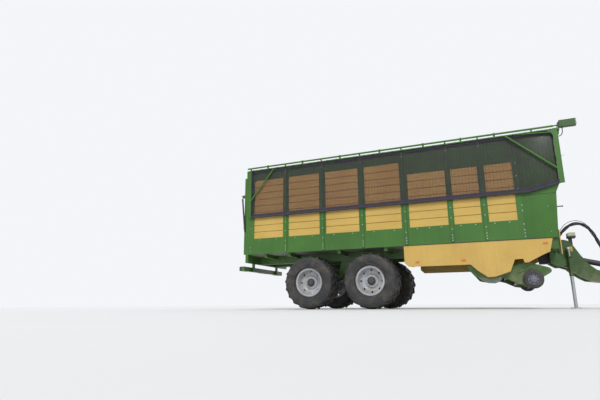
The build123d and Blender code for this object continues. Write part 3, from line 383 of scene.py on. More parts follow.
def netting(name):
    """Knitted wind net: dark threads both ways with open holes, heavier every few rows"""
    f = Finish(name)
    pitch = 0.0062
    sag = f.noise(2.2, 2) * 0.004
    warp = (f.x + sag).wave(pitch)
    weft = (f.z + sag).wave(pitch * 1.25)
    heavy = f.x.wave(pitch * 12).between(0.86, 0.97)
    thread = ((warp > 0.765) + (weft > 0.785) + heavy * 0.5).held()
    soft = f.noise(0.9, 4)
    worn = f.noise(900, 1)
    tone = f.mix((soft * 0.5 + worn * 0.4).held(), (0.036, 0.003, 0.042), (0.088, 0.01, 0.098))
    tone = f.mix(f.noise(6, 5, 0.65).between(0.6, 0.86) * 0.25, tone, (0.17, 0.12, 0.14))
    return f.use(tone, 0.78 + worn * 0.15, (warp * 0.5 + weft * 0.5, 0.5, 0.0012), alpha=(thread * 0.97).held(),
                 speck=0.12)


def webbing(name):
    """Doubled net border, close woven and stitched along both sides"""
    f = Finish(name)
    weave = f.x.wave(0.006) * 0.5 + f.z.wave(0.006) * 0.5
    worn = f.noise(7, 5, 0.65)
    tone = f.mix((weave * 0.5 + worn * 0.5).held(), (0.022, 0.018, 0.03), (0.058, 0.05, 0.074))
    tone = f.mix(worn.between(0.58, 0.84) * 0.4, tone, (0.2, 0.18, 0.15))
    return f.use(tone, 0.75 + weave * 0.15, (weave, 0.5, 0.001), sheen=0.2)


FINISHES = {
    "green": paint("green_enamel", (0.04, 0.158, 0.009), (0.029, 0.12, 0.007)),
    "drive": paint("green_enamel_deep", (0.03, 0.085, 0.009), (0.024, 0.068, 0.008), dust=0.2),
    "green_low": paint("green_enamel_low", (0.05, 0.14, 0.013), (0.03, 0.095, 0.009), dust=0.6, chips=0.7),
    # Darker green of the drawbar: partly its weathered paint, partly painted shade
    "tow": paint("green_enamel_tow_painted_shade", (0.034, 0.094, 0.008), (0.022, 0.066, 0.006), dust=0.45, chips=0.7),
    "cream": paint("cream_enamel", (0.64, 0.42, 0.095), (0.56, 0.35, 0.075), gloss=0.3, dust=0.25, chips=0.76),
    "boards": boarding("board_enamel", (0.62, 0.42, 0.095), (0.54, 0.345, 0.07)),
    "pale_green": paint("green_enamel_pale", (0.19, 0.33, 0.1), (0.15, 0.27, 0.08), dust=0.5),
    "dark": paint("black_enamel", (0.04, 0.042, 0.044), (0.022, 0.023, 0.024), dust=0.6, chips=0.7,
                  under=(0.2, 0.11, 0.06)),
    "rim": paint("rim_enamel", (0.52, 0.53, 0.56), (0.4, 0.41, 0.44), dust=0.5),
    "gauge": paint("rim_enamel_blue", (0.15, 0.17, 0.235), (0.1, 0.115, 0.165), dust=0.35, chips=0.68),
    "rotor": paint("rotor_enamel", (0.06, 0.18, 0.045), (0.03, 0.11, 0.025), dust=0.4, chips=0.55,
                   under=(0.33, 0.31, 0.29)),
    "cast": bare_metal("cast_iron", (0.1, 0.1, 0.1), 0.55, 60, 0.5, 0.5),
    "floor": floor_plate("floor_steel"),
    "chain": bare_metal("chain_steel", (0.36, 0.34, 0.31), 0.34, 120, 0.6),
    "zinc": bare_metal("zinc_steel", (0.5, 0.51, 0.53), 0.36, 70, 0.12, 0.85),
    "spring": bare_metal("spring_steel", (0.27, 0.24, 0.21), 0.38, 150, 0.5),
    "chrome": chrome("chrome_rod"),
    "tyre": rubber("tyre_rubber"),
    "hose": rubber("hose_rubber", (0.018, 0.019, 0.021), 0.2),
    "guard": moulded("guard_plastic", (0.03, 0.031, 0.033), 0.42),
    "sleeve": moulded("sleeve_plastic", (0.06, 0.07, 0.085), 0.5, 0.5),
    "plate": moulded("blank_plate", (0.62, 0.6, 0.55), 0.4, 0.5),
    "tag": moulded("blank_tag", (0.55, 0.38, 0.04), 0.4, 0.3),
    "cap_red": moulded("cap_plastic_red", (0.35, 0.02, 0.015), 0.4, 0.3),
    "cap_blue": moulded("cap_plastic_blue", (0.02, 0.05, 0.25), 0.4, 0.3),
    "beige": moulded("beige_plastic", (0.6, 0.53, 0.36), 0.42),
    "red": lens("red_lens", (0.42, 0.012, 0.01), (0.8, 0.05, 0.03)),
    "amber": lens("amber_lens", (0.5, 0.1, 0.01), (0.72, 0.22, 0.02)),
    "net": netting("wind_net"),
    "hem": webbing("hem_webbing"),
}


def by_word(table):
    """Each word of a table's rows with the name of its row"""
    return {word: row for row, words in table.items() for word in words.split()}


# The finish that the solid model's nodes wear, by the start of their names
WEARS = by_word({
    "green": "side_wall_ top_frame front_wall wing_frame_ tailgate gate_lugs",
    "green_low": "chassis_frame side_beams cross_members head_beam drawbar_lugs ram_lugs rotor_housing suspension "
                 "pickup_arms pickup_frame crop_roller",
    "drive": "cover_drives",
    # The drawbar wears the darker green that holds painted shade
    "tow": "drawbar",
    "cream": "skirts corner_covers",
    "boards": "boards_",
    "dark": "axles knuckle_ tie_rod drawbar_barrels tailgate_barrels",
    "rim": "rim_",
    "rotor": "feed_rotor",
    "cast": "gearbox rotor_stubs",
    "floor": "load_floor",
    "chain": "scraper_chains",
    "zinc": "jack_leg",
    "spring": "reel",
    "chrome": "drawbar_rods tailgate_rods",
    "tyre": "tyre_ gauge_wheel_",
    "hose": "hose_bundle cover_hose_",
    "guard": "drive_shaft",
    "beige": "hose_box",
    "red": "tail_lamps",
    "amber": "reflectors",
    "net": "wing_mesh_",
})


def dress_solids():
    """Give every node of the solid model the finish of its longest fitting stem"""
    for name, node in solids.items():
        stem = max(filter(name.startswith, WEARS), key=len)
        for place in node.material_slots:
            place.material = FINISHES[WEARS[stem]]


dress_solids()
guard.data.materials.append(FINISHES["sleeve"])
for line in (bundle, strands, cable, *loops):
    line.data.materials.append(FINISHES["hose"])


# ---- modelling helpers
def drop_selection():
    if bpy.context.object and bpy.context.object.mode != "OBJECT":
        bpy.ops.object.mode_set(mode="OBJECT")
    bpy.ops.object.select_all(action="DESELECT")


def focus(piece):
    """Select the piece alone and make it active"""
    drop_selection()
    piece.select_set(True)
    bpy.context.view_layer.objects.active = piece


def settle():
    """Move the new piece's place, turn and size into its mesh"""
    piece = bpy.context.active_object
    focus(piece)
    bpy.ops.object.transform_apply(location=True, rotation=True, scale=True)
    return piece


def toward(axis):
    """The turn that lays a shape's own axis along a direction"""
    return Vector(axis).to_track_quat("Z", "Y").to_euler()


def enter_edit():
    bpy.ops.object.mode_set(mode="EDIT")


def leave_edit():
    bpy.ops.object.mode_set(mode="OBJECT")


def select_whole():
    bpy.ops.mesh.select_all(action="SELECT")


def extrude(move):
    """Extrude what is selected in edit mode along a move"""
    bpy.ops.mesh.extrude_region_move(TRANSFORM_OT_translate={"value": move})


def shift(*move):
    """The matrix of a move"""
    return Matrix.Translation(Vector(move))


def spin(angle, axis="Y"):
    """The matrix of a turn in degrees"""
    return Matrix.Rotation(radians(angle), 4, axis)


def facing(way):
    """Test for faces that look along a direction"""
    return lambda face: face.normal.dot(Vector(way)) > 0.9


def brick(low, high):
    """Start from a block between two corners"""
    drop_selection()
    low, high = (Vector([choose(pair) for pair in zip(low, high)]) for choose in (min, max))
    bpy.ops.mesh.primitive_cube_add(size=1, location=(low + high) / 2, scale=high - low)
    return settle()


def bar(start, end, radius, sides=16):
    """Start from a round bar between two points"""
    drop_selection()
    start, end = Vector(start), Vector(end)
    run = end - start
    bpy.ops.mesh.primitive_cylinder_add(vertices=sides, radius=radius, depth=run.length, location=(start + end) / 2,
                                        rotation=toward(run))
    return settle()


def ring(axis, radius, thick, steps, sides=6):
    """Start from a ring of round wire about the origin"""
    drop_selection()
    bpy.ops.mesh.primitive_torus_add(major_radius=radius, minor_radius=thick, major_segments=steps,
                                     minor_segments=sides, location=(0, 0, 0), rotation=toward(axis))
    return settle()


def pick(piece, wanted):
    """Go into edit mode with the wanted faces selected"""
    focus(piece)
    enter_edit()
    bpy.ops.mesh.select_mode(type="FACE")
    mesh = bmesh.from_edit_mesh(piece.data)
    for group in (mesh.verts, mesh.edges, mesh.faces):
        for item in group:
            item.select = False
    for face in mesh.faces:
        if wanted(face):
            face.select_set(True)
    mesh.select_flush_mode()
    bmesh.update_edit_mesh(piece.data)


def cut(place, normal, **settings):
    """Cut the whole of the mesh in edit mode along a plane"""
    select_whole()
    bpy.ops.mesh.bisect(plane_co=place, plane_no=normal, **settings)


def apply_modifier(piece, kind, **settings):
    focus(piece)
    change = piece.modifiers.new(kind.lower(), kind)
    for key, value in settings.items():
        setattr(change, key, value)
    bpy.ops.object.modifier_apply(modifier=change.name)
    return piece


def soften(piece, width, steps=2):
    """Round the piece's edges"""
    apply_modifier(piece, "BEVEL", width=width, segments=steps, limit_method="ANGLE", angle_limit=radians(30))
    return smooth(piece, 40)


def smooth(piece, angle=35):
    """Shade the piece smooth, but not over edges sharper than the angle"""
    focus(piece)
    bpy.ops.object.shade_smooth_by_angle(angle=radians(angle))
    return piece


def copies(piece, moves):
    """Copies of the piece, each with its own mesh and moved by a matrix; the piece itself goes"""
    made = []
    for move in moves:
        twin = piece.copy()
        twin.data = piece.data.copy()
        bpy.context.scene.collection.objects.link(twin)
        twin.data.transform(move)
        if move.determinant() < 0:
            twin.data.flip_normals()
        twin.data.update()
        made.append(twin)
    bpy.data.objects.remove(piece, do_unlink=True)
    return made


def joined(name, parts):
    """Join the parts into one object"""
    drop_selection()
    for part in parts:
        part.select_set(True)
    bpy.context.view_layer.objects.active = parts[0]
    if len(parts) > 1:
        bpy.ops.object.join()
    whole = bpy.context.view_layer.objects.active
    whole.name = whole.data.name = name
    return whole


def fit(name, parts, finish, body, *replaced, record_slot=None):
    """Finish a piece: one object, one material, its body, and what it stands for; its slot in the record (record_slot)
    is not used
    """
    piece = joined(name, parts if isinstance(parts, list) else [parts])
    piece.data.materials.clear()
    piece.data.materials.append(FINISHES[finish])
    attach(piece, body)
    if replaced:
        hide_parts(*replaced)
    return piece


# The matrix that carries a piece to the wagon's other side
MIRROR = Matrix.Scale(-1, 4, Vector((0, 1, 0)))


def both(*parts):
    """The parts of one side with their mirror images on the other"""
    return [twin for part in parts for twin in copies(part, (Matrix(), MIRROR))]


def pull(piece, wanted, move):
    """Extrude the wanted faces along a move"""
    pick(piece, wanted)
    extrude(move)
    leave_edit()
    return piece


def inset(piece, wanted, thickness, depth):
    """Inset the wanted faces and move them in or out"""
    pick(piece, wanted)
    bpy.ops.mesh.inset(thickness=thickness, depth=depth)
    leave_edit()
    return piece


def panel(low, high, way, rim, depth, edge, steps=2):
    """A block between two corners with soft edges and one face inset"""
    return soften(inset(brick(low, high), facing(way), rim, depth), edge, steps)


def turned(centre, axis, profile, steps=32, ring_shape=False, angle=35):
    """Draw a round piece out ring by ring: each row is a distance along the axis and a radius"""
    axis, centre = Vector(axis).normalized(), Vector(centre)
    rows = list(profile) + ([profile[0]] if ring_shape else [])
    drop_selection()
    bpy.ops.mesh.primitive_circle_add(vertices=steps, radius=rows[0][1], location=centre + axis * rows[0][0],
                                      rotation=toward(axis))
    piece = settle()
    enter_edit()
    bpy.ops.mesh.select_mode(type="EDGE")
    select_whole()
    for (place, radius), (onward, wider) in zip(rows, rows[1:]):
        extrude(axis * (onward - place))
        grow = wider / radius
        bpy.ops.transform.resize(value=(grow, grow, grow), center_override=centre + axis * onward)
    select_whole()
    if ring_shape:
        bpy.ops.mesh.remove_doubles(threshold=0.00005)
    else:
        bpy.ops.mesh.fill_holes(sides=0)
    select_whole()
    bpy.ops.mesh.normals_make_consistent(inside=False)
    leave_edit()
    return smooth(piece, angle)


# ---- cover nets
NET_REAR = back(7.48)
NET_FRONT = FRONT + 0.235
NET_TOP = HINGE_Z - 0.074
NET_LOW = HINGE_Z - 1.43
NET_CUT = ((FRONT - 0.45, NET_LOW), (NET_FRONT, NET_LOW + 0.155))  # ends of the slanting lower edge
NET_Y = 1.2875
NET_INNER, NET_OUTER = NET_Y - 0.0026, NET_Y + 0.0012  # faces of the hems
NET_COLUMNS, NET_ROWS = 26, 9
NET_TIES = 30  # spaces between the eyelets
HEM = 0.07  # width of the end hems
LACE = 0.0042  # half the thickness of the shock cord


def net_floor(x):
    """Height of the net's lower edge"""
    (x0, z0), (x1, z1) = NET_CUT
    return z0 if x <= x0 else z0 + (z1 - z0) * (x - x0) / (x1 - x0)


def make_net(side, sign):
    """One cover net with its hems, eyelets and lacing"""
    drop_selection()
    size = (NET_FRONT - NET_REAR, NET_TOP - NET_LOW)
    bpy.ops.mesh.primitive_plane_add(size=1, location=((NET_FRONT + NET_REAR) / 2, sign * NET_Y,
                                                         (NET_TOP + NET_LOW) / 2),
                                     rotation=(radians(90), 0, 0))
    bpy.ops.transform.resize(value=(size[0], 1, size[1]))
    net = settle()
    enter_edit()
    (x0, z0), (x1, z1) = NET_CUT
    cut((x0, 0, z0), Vector((z1 - z0, 0, x0 - x1)).normalized(), clear_outer=True)
    for i in range(1, NET_COLUMNS):
        cut((NET_REAR + size[0] * i / NET_COLUMNS, 0, 0), AHEAD)
    for i in range(1, NET_ROWS):
        cut((0, 0, NET_LOW + size[1] * i / NET_ROWS), UP)
    leave_edit()
    for point in net.data.vertices:
        ripple = sin(point.co.x * 9.1) * 0.6 + sin(point.co.x * 3.7 + point.co.z * 5) * 0.4
        point.co.y += 0.0014 * ripple
    apply_modifier(net, "SUBSURF", levels=1, render_levels=1, subdivision_type="SIMPLE")
    smooth(net, 60)
    hems = []
    for low, high in ((NET_TOP - 0.062, NET_TOP - 0.004), (0.004, 0.088)):
        strip = brick((NET_REAR + 0.006, sign * NET_INNER, 0), (NET_FRONT - 0.006, sign * NET_OUTER, 1))
        enter_edit()
        cut((x0, 0, 0), AHEAD)
        leave_edit()
        for point in strip.data.vertices:
            ground = 0 if low > 1 else net_floor(point.co.x)
            point.co.z = ground + (high if point.co.z > 0.5 else low)
        hems.append(strip)
    for x in (NET_REAR + 0.006, NET_FRONT - 0.006 - HEM):
        hems.append(brick((x, sign * NET_INNER, net_floor(x + HEM) + 0.06),
                          (x + HEM, sign * NET_OUTER, NET_TOP - 0.03)))
    sleeve_y, run = sign * HINGE_Y, FRONT + 0.15 - x0
    sleeve = bar((NET_REAR + 0.066, sleeve_y, NET_LOW), (x0, sleeve_y, NET_LOW), 0.025, 20)
    pull(sleeve, facing(AHEAD), (run, 0, (z1 - z0) * run / (x1 - x0)))
    hems.append(smooth(sleeve))
    hem = fit("net_hem_" + side, hems, "hem", "wing_" + side)
    net = fit("net_" + side, net, "net", "wing_" + side, "wing_mesh_" + side)
    # Eyelets and shock cord round the frame's tubes
    spots = [NET_REAR + 0.12 + i * (NET_FRONT - NET_REAR - 0.24) / NET_TIES for i in range(NET_TIES + 1)]
    places = [shift(x, sign * (NET_Y + 0.002), NET_TOP - 0.036) for x in spots]
    places += [shift(x, sign * (NET_Y + 0.002), net_floor(x) + 0.046) for x in spots]
    rings = fit("net_eyelets_" + side, copies(ring(LEFTWARD, 0.012, 0.0028, 14), places), "dark", "wing_" + side)
    lacing = []
    for radius, way, longer, heights in ((0.0225, -1, 1.55, [NET_TOP] * len(spots)),
                                         (0.0275, 1, 1.6, [net_floor(x) for x in spots])):
        lace = ring(AHEAD, radius, LACE, 18)
        for point in lace.data.vertices:
            if point.co.z * way > 0:
                point.co.z *= longer
        lacing += copies(lace, [shift(x, sign * (HINGE_Y - 0.0035), z) for x, z in zip(spots, heights)])
    cords = fit("net_lacing_" + side, lacing, "hose", "wing_" + side)


# ---- bolts
WASHER = 0.003  # its thickness
RIB = WALL + 0.02  # outer face of the posts
# Bolts by their distance behind the front plane and their heights
POSTS = (1.385, 2.115, 3.165, 4.235, 5.3, 6.365)
POST_BOLTS = (1.53, 1.59, 1.65, 1.79, 2.06, 2.3, 3.7, 3.79)
SHEET_BOLTS = (
    (0.62, (1.53, 1.6, 1.67, 1.8, 2.1, 2.22)), (0.12, (2.15,)), (0.66, (2.6, 2.9, 3.2)), (0.12, (1.6, 3.4)),
    (7.45, (1.56, 1.66, 2.2, 3, 3.6)),
)
SILL = 1.862
SILL_BOLTS = (0.9, 1.2, 1.6, 1.92, 2.35, 2.62, 2.9, 3.45, 3.95, 4.5, 5, 5.6, 6.1, 6.65, 7.15)


def bolt_head(radius, height):
    """A hexagon head with a washer under it, looking along -Y from y = 0"""
    washer = bar((0, 0, 0), (0, -WASHER, 0), radius * 1.55, 14)
    head = bar((0, -WASHER, 0), (0, -WASHER - height, 0), radius, 6)
    return joined("bolt", [washer, inset(head, facing(RIGHTWARD), radius * 0.28, radius * 0.1)])


def set_wall_bolts():
    """Bolts down the posts, in the corner sheets and along the sill under the boards"""
    moves = [shift(back(d), -RIB, z) for d in POSTS for z in POST_BOLTS]
    moves += [shift(back(d), -WALL, z) for d, heights in SHEET_BOLTS for z in heights]
    moves += [shift(back(d), -WALL, SILL) for d in SILL_BOLTS]
    moves += [MIRROR @ move for move in moves]
    fit("wall_bolts", copies(bolt_head(0.0085, 0.008), moves), "zinc", "chassis")


# ---- wheels
AXLES = (back(4.1), back(5.7))
WHEEL_Y = 1.025
AXLE_Z = 0.675
HUB = mm(92, 100, 112, 100, 118, 94, 120, 78, 148, 74, 156, 66, 159, 50, 160, 4)
VALVE = mm(0, 6, 22, 6, 24, 4.5, 36, 4.5, 37, 6.2, 50, 6.2, 52, 4)
VALVE_REACH = 0.283  # its distance from the axle
GAUGE_WHEEL = (back(0.56), 1.15, 0.62)
GAUGE_RIM = mm(46.6, 4, 46.6, 58, 44, 61.5, 13.6, 71.5, 13.6, 106, 30, 112.4, 33, 115, 26, 115, 10, 109, 10, 69,
               40, 58, 42, 4)
GAUGE_CAP = mm(46, 26, 64, 26, 70, 22, 73, 14, 73.8, 2)


def each_wheel():
    """End and side of each big wheel, the sign of its side, and its middle"""
    for end, x in zip(("front", "rear"), AXLES):
        for side, sign in RIGHT_LEFT:
            yield end + "_" + side, sign, (x, sign * WHEEL_Y, AXLE_Z)


def around(middle, part, count, start):
    """Copies of a part set round a wheel's axis, the first at a starting angle"""
    there = shift(*middle)
    return copies(part, [there @ spin(360 / count * i + start) @ there.inverted() for i in range(count)])


def set_wheel_caps():
    """Hub caps with their bolts, and valves"""
    lean = radians(22)
    for wheel, sign, middle in each_wheel():
        x, y, z = middle
        cap = turned(middle, (0, sign, 0), HUB, 36)
        bolt = turned((x + 0.086, y + sign * 0.118, z), (0, sign, 0), mm(0, 9, 7, 9, 9, 7), 6)
        stem = turned((x + VALVE_REACH * cos(lean), y + sign * 0.062, z + VALVE_REACH * sin(lean)),
                      (0.35, sign, 0.1), VALVE, 12)
        fit("hub_cap_" + wheel, [cap] + around(middle, bolt, 6, 30), "cast", "wheel_" + wheel)
        fit("valve_" + wheel, stem, "hose", "wheel_" + wheel)


def set_gauge_rims():
    """Dished rims of the gauge wheels with nuts, a cap, and dark patches of painted shade where the hand holes are"""
    for side, sign in RIGHT_LEFT:
        x, y, z = GAUGE_WHEEL
        middle = (x, sign * y, z)
        parts = [turned(middle, (0, way, 0), GAUGE_RIM, 40, ring_shape=True) for way in (1, -1)]
        parts.append(turned(middle, (0, sign, 0), GAUGE_CAP, 24))
        nut = turned((x + 0.088, sign * 1.1636, z), (0, sign, 0), mm(0, 10, 9, 10, 11, 7), 6)
        fit("gauge_rim_" + side, parts + around(middle, nut, 4, 45), "gauge", "gauge_wheel_" + side)
        # Thin dark patches on the rim's face: painted shade standing for the hand holes
        slot = soften(brick((-0.013, 1.1632, 0.0775), (0.013, 1.1646, 0.101)), 0.0005, 1)
        moves = [shift(x, 0, z) @ spin(45 * i + 22.5) for i in range(8)]
        if sign < 0:
            moves = [MIRROR @ move for move in moves]
        fit("gauge_hole_shades_" + side, copies(slot, moves), "guard", "gauge_wheel_" + side, record_slot="dark_paint")


# Rings on a tyre's sidewall, in rows of width from its middle and radius, with the first and last row in the rubber
SIDE_RINGS = (
    mm(306, 383, 316.5, 386, 322.5, 394, 324, 402, 319, 409, 312, 405),
    mm(331, 437, 337.5, 440, 339.5, 443.5, 339.5, 447, 334, 449),
    mm(343, 498, 347.5, 501, 349, 506, 347.5, 511, 343, 514),
)


def set_tyre_rings():
    """Rim guards and wear rings moulded on the sidewalls"""
    for wheel, sign, middle in each_wheel():
        rings = [turned(middle, (0, way, 0), profile, 64, ring_shape=True)
                 for way in (1, -1) for profile in SIDE_RINGS]
        fit("tyre_rings_" + wheel, rings, "tyre", "wheel_" + wheel)


# ---- walls and skirts
def corner_sheets():
    """Sheet laid over each wall's front corner, ahead of the first boards"""
    sheet = brick((back(0.6), WALL - 0.001, 1.476), (FRONT - 0.004, WALL + 0.004, 2.448))
    pick(sheet, facing(UP))
    extrude((0, 0, 0.19))
    extrude((0, 0, 1.188))
    leave_edit()
    for point in sheet.data.vertices:
        if point.co.x > FRONT - 0.1 and point.co.z > 2:
            point.co.x += 0.074 if point.co.z < 2.5 else 0.158
    fit("corner_sheets", both(soften(sheet, 0.0015)), "green", "chassis")


def wall_strips(name, rear, front, inner, outer, low, high, rim, sink, edge):
    """The same rubber strip along both walls, with a sunk face"""
    strip = panel((rear, WALL + inner, low), (front, WALL + outer, high), LEFTWARD, rim, sink, edge, 1)
    fit(name, both(strip), "hose", "chassis")


def wall_seal():
    """Black strip between each wall and its skirt"""
    wall_strips("wall_seal", back(3.255), back(0.105), -0.03, 0.0025, 1.4635, 1.476, 0.003, -0.002, 0.0015)


def sheet_joints():
    """Rubber in the joint between the upper and lower corner sheets"""
    wall_strips("sheet_joints", back(0.605), FRONT + 0.072, 0.002, 0.0065, 2.43, 2.4385, 0.002, -0.001, 0.001)


def pegs_and_hooks():
    """Pegs on the walls' front edges for lashing the hoses, and hooks on the covers' front bars"""
    y, z = 1.215, 2.135
    peg = bar((FRONT + 0.02, y, z), (FRONT + 0.15, y, z), 0.012)
    collar = turned((FRONT + 0.148, y, z), AHEAD, mm(0, 12, 4, 18, 14, 18, 18, 12), 16)
    fit("front_pegs", both(smooth(inset(peg, facing(AHEAD), 0.002, 0.003)), collar), "dark", "chassis")
    for side, sign in RIGHT_LEFT:
        x, y, z = FRONT + 0.253, sign * HINGE_Y, 3.23
        foot = brick((x, y - 0.011, z - 0.045), (x + 0.006, y + 0.011, z + 0.02))
        arm = bar((x + 0.004, y, z), (x + 0.04, y, z), 0.0055, 14)
        pick(arm, facing(AHEAD))
        for dx, dz in ((0.014, 0.006), (0.008, 0.014), (0, 0.026)):
            extrude((dx, 0, dz))
        leave_edit()
        fit("cord_hook_" + side, [soften(foot, 0.0015, 1), smooth(arm)], "zinc", "wing_" + side)


# ---- cover drives
def drive_covers():
    """Pale end covers, joint flanges and bolts of the cover drives"""
    low, high = HINGE_Z - 0.052, HINGE_Z + 0.092
    near, far = HINGE_Y - 0.072, HINGE_Y + 0.072
    cap = brick((FRONT + 0.598, near, low), (FRONT + 0.617, far, high))
    inset(cap, facing(AHEAD), 0.012, 0.005)
    inset(cap, lambda face: face.normal.x > 0.9 and face.calc_area() > 0.008, 0.016, -0.004)
    flanges = [soften(brick((x, near - 0.001, low - 0.003), (x + 0.01, far + 0.003, high + 0.002)), 0.0015, 1)
               for x in (FRONT + 0.318, FRONT + 0.56)]
    bolts = [turned((FRONT + 0.622, y, z), AHEAD, mm(0, 6.5, 5, 6.5, 6, 5), 6)
             for y in (HINGE_Y - 0.058, HINGE_Y + 0.058) for z in (low + 0.014, high - 0.014)]
    fit("drive_end_covers", both(soften(cap, 0.003)), "pale_green", "chassis")
    fit("drive_flanges", both(*flanges), "green", "chassis")
    fit("drive_bolts", both(*bolts), "zinc", "chassis")


# ---- drawbar fittings
# Upper edge of the drawbar's cheeks: distance ahead of the front plane, and height
CHEEK_TOP = ((0.096, 1.49), (0.13, 1.518), (0.19, 1.525), (0.275, 1.496), (0.348, 1.418), (0.404, 1.32),
             (0.469, 1.195), (0.545, 1.065), (0.638, 0.943))
CHEEK_FACES = (-0.309, -0.191, 0.191, 0.309)


def bead(points, radius):
    """A weld bead along a line"""
    focus(round_line("bead", "POLY", [points], radius, 1))
    bpy.ops.object.convert(target="MESH")
    return bpy.context.view_layer.objects.active


def drawbar_fittings():
    """Welds, bare tags, the fitting where the hoses start, and coupling sockets with dust caps on the post"""
    welds = [bead([(FRONT + x, y, z - 0.001) for x, z in CHEEK_TOP], 0.0045) for y in CHEEK_FACES]
    seam = turned((FRONT + 0.16, 0.31, 1.02), LEFTWARD, mm(0, 50, 6, 48, 10, 40, 10, 34), 28)
    tag = panel((FRONT + 0.288, 0.309, 1.252), (FRONT + 0.352, 0.3125, 1.362), LEFTWARD, 0.004, 0.0008, 0.001, 1)
    fit("drawbar_welds", welds + both(seam), "tow", "drawbar")
    fit("drawbar_tags", both(tag), "tag", "drawbar")
    start = Vector(BUNDLE[0])
    out = (Vector(BUNDLE[1]) - start).normalized()
    nuts = [turned(start - out * 0.052, out, mm(0, 34, 22, 34, 26, 30), 6),
            turned(start - out * 0.028, out, mm(0, 28.5, 28, 28.5, 33, 24.5, 40, 23.5), 24)]
    caps = {"cap_red": [], "cap_blue": []}
    for y in (0.03, 0.155):
        for colour, z in (("cap_blue", 1.235), ("cap_red", 1.165)):
            nuts.append(turned((FRONT + 1.292, y, z), AHEAD, mm(0, 21, 10, 21, 12, 16.5, 40, 16.5, 42, 18.5), 6))
            caps[colour].append(turned((FRONT + 1.332, y, z), AHEAD, mm(0, 19.5, 30, 19.5, 36, 16.5, 38, 6, 50, 5), 20))
    fit("hose_fittings", nuts, "zinc", "drawbar")
    for colour, parts in caps.items():
        fit("dust_" + colour, parts, colour, "drawbar")


def jack_crank():
    """Gear head on the jack's tube, with its crank"""
    x, y, z = FRONT + 0.25, -0.4, 1.3
    head = turned((x, y, z - 0.01), UP, mm(0, 48.5, 30, 48.5, 42, 44, 52, 30, 55, 6), 28)
    boss = turned((x, y - 0.0415, z - 0.045), RIGHTWARD, mm(0, 28, 23.5, 26, 33.5, 18), 20)
    shaft = bar((x, y - 0.06, z - 0.045), (x, y - 0.12, z - 0.045), 0.009, 14)
    pull(shaft, facing(RIGHTWARD), (0, -0.018, -0.012))
    pull(shaft, lambda face: face.normal.y < -0.4, (0, -0.004, -0.15))
    grip = turned((x, y - 0.132, z - 0.2), RIGHTWARD, mm(0, 7, 2, 16, 30, 18.5, 70, 17.5, 98, 15, 102, 8), 20)
    fit("jack_head", [head, boss, smooth(shaft)], "zinc", "drawbar")
    fit("jack_grip", grip, "hose", "drawbar")


def shaft_guard():
    """Ribs along the drive shaft's guard, its joint collar and its free bell, and grooves of the yoke"""
    slope = radians(-15)
    along = Vector((cos(slope), 0, sin(slope)))
    start = Vector((FRONT + 0.11, 0, 1.185))
    rows = mm(110, 62.8)
    for rib in range(120, 204, 12):
        rows += mm(rib, 62.8, rib + 3, 66.5, rib + 6, 66.5, rib + 9, 62.8)
    bellows = turned(start, along, rows + mm(215, 62.6), 32)
    collar = turned(start, along, mm(868, 62.6, 872, 66.5, 898, 66.5, 904, 61, 910, 53), 32)
    bell = turned(start, along, mm(1600, 53, 1640, 60, 1700, 78, 1722, 80, 1722, 76.5, 1700, 74.5, 1645, 56,
                                   1600, 52.1), 36, ring_shape=True)
    fit("shaft_guard_bell", [bellows, collar, bell], "guard", "drive_shaft")
    grooves = [turned(start, along, mm(at, 32.5, at + 3, 35, at + 10, 35, at + 13, 32.5), 28) for at in (1735, 1770)]
    fit("yoke_rings", grooves, "cast", "drive_shaft")


def hose_box_tray():
    """Black tray under the box on the hump, cover of its post, and the lid's catches"""
    low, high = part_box("hose_box")
    tray = brick((FRONT + 0.318, low[1] - 0.0018, 1.587), (FRONT + 0.482, high[1] + 0.0018, 1.632))
    pick(tray, facing(UP))
    bpy.ops.transform.resize(value=(1.02, 1.02, 1))
    leave_edit()
    post = brick((FRONT + 0.343, -0.062, 1.437), (FRONT + 0.407, 0.062, 1.588))
    inset(post, lambda face: abs(face.normal.y) > 0.9, 0.01, -0.001)
    foot = brick((FRONT + 0.2885, low[1] - 0.001, 1.4345), (FRONT + 0.4065, high[1] + 0.001, 1.4375))
    fit("box_tray", [soften(tray, 0.003), soften(post, 0.002), foot], "guard", "drawbar", record_slot="dark_paint")
    catches = []
    for sign, edge in ((-1, low[1]), (1, high[1])):
        for x in (FRONT + 0.344, FRONT + 0.44):
            catches.append(panel((x, edge, 1.618), (x + 0.016, edge + sign * 0.0045, 1.672), (0, sign, 0),
                                 0.0025, 0.0015, 0.001, 1))
    fit("box_catches", catches, "zinc", "drawbar")


# ---- rear end and running gear
GATE_REAR = REAR - 0.1


def rear_lamps():
    """Lamp housings with their glasses, warning triangles and the blank number plate"""
    shell = brick((REAR - 0.222, 0.846, 1.041), (REAR - 0.142, 1.184, 1.159))
    inset(shell, facing(REARWARD), 0.007, 0)
    pull(shell, lambda face: face.normal.x < -0.9 and face.calc_area() > 0.02, (0.012, 0, 0))
    fit("lamp_frames", both(soften(shell, 0.002)), "guard", "chassis", record_slot="dark_paint")
    for name, near, far, finish in (("lamp_turn", 1.075, 1.17, "amber"), ("lamp_clear", 0.985, 1.07, "plate")):
        glass = panel((REAR - 0.2262, near, 1.052), (REAR - 0.215, far, 1.148), REARWARD, 0.01, 0.0012, 0.002)
        fit(name, both(glass), finish, "chassis")
    warn = turned((REAR - 0.139, 0.56, 1.1), REARWARD, mm(0, 78, 6, 78, 9, 72, 9, 46, 6, 42), 3, angle=20)
    fit("rear_triangles", both(warn), "red", "chassis")
    board = panel((REAR - 0.147, -0.27, 1.036), (REAR - 0.139, 0.27, 1.164), REARWARD, 0.008, -0.003, 0.002)
    fit("number_plate_blank", board, "plate", "chassis")


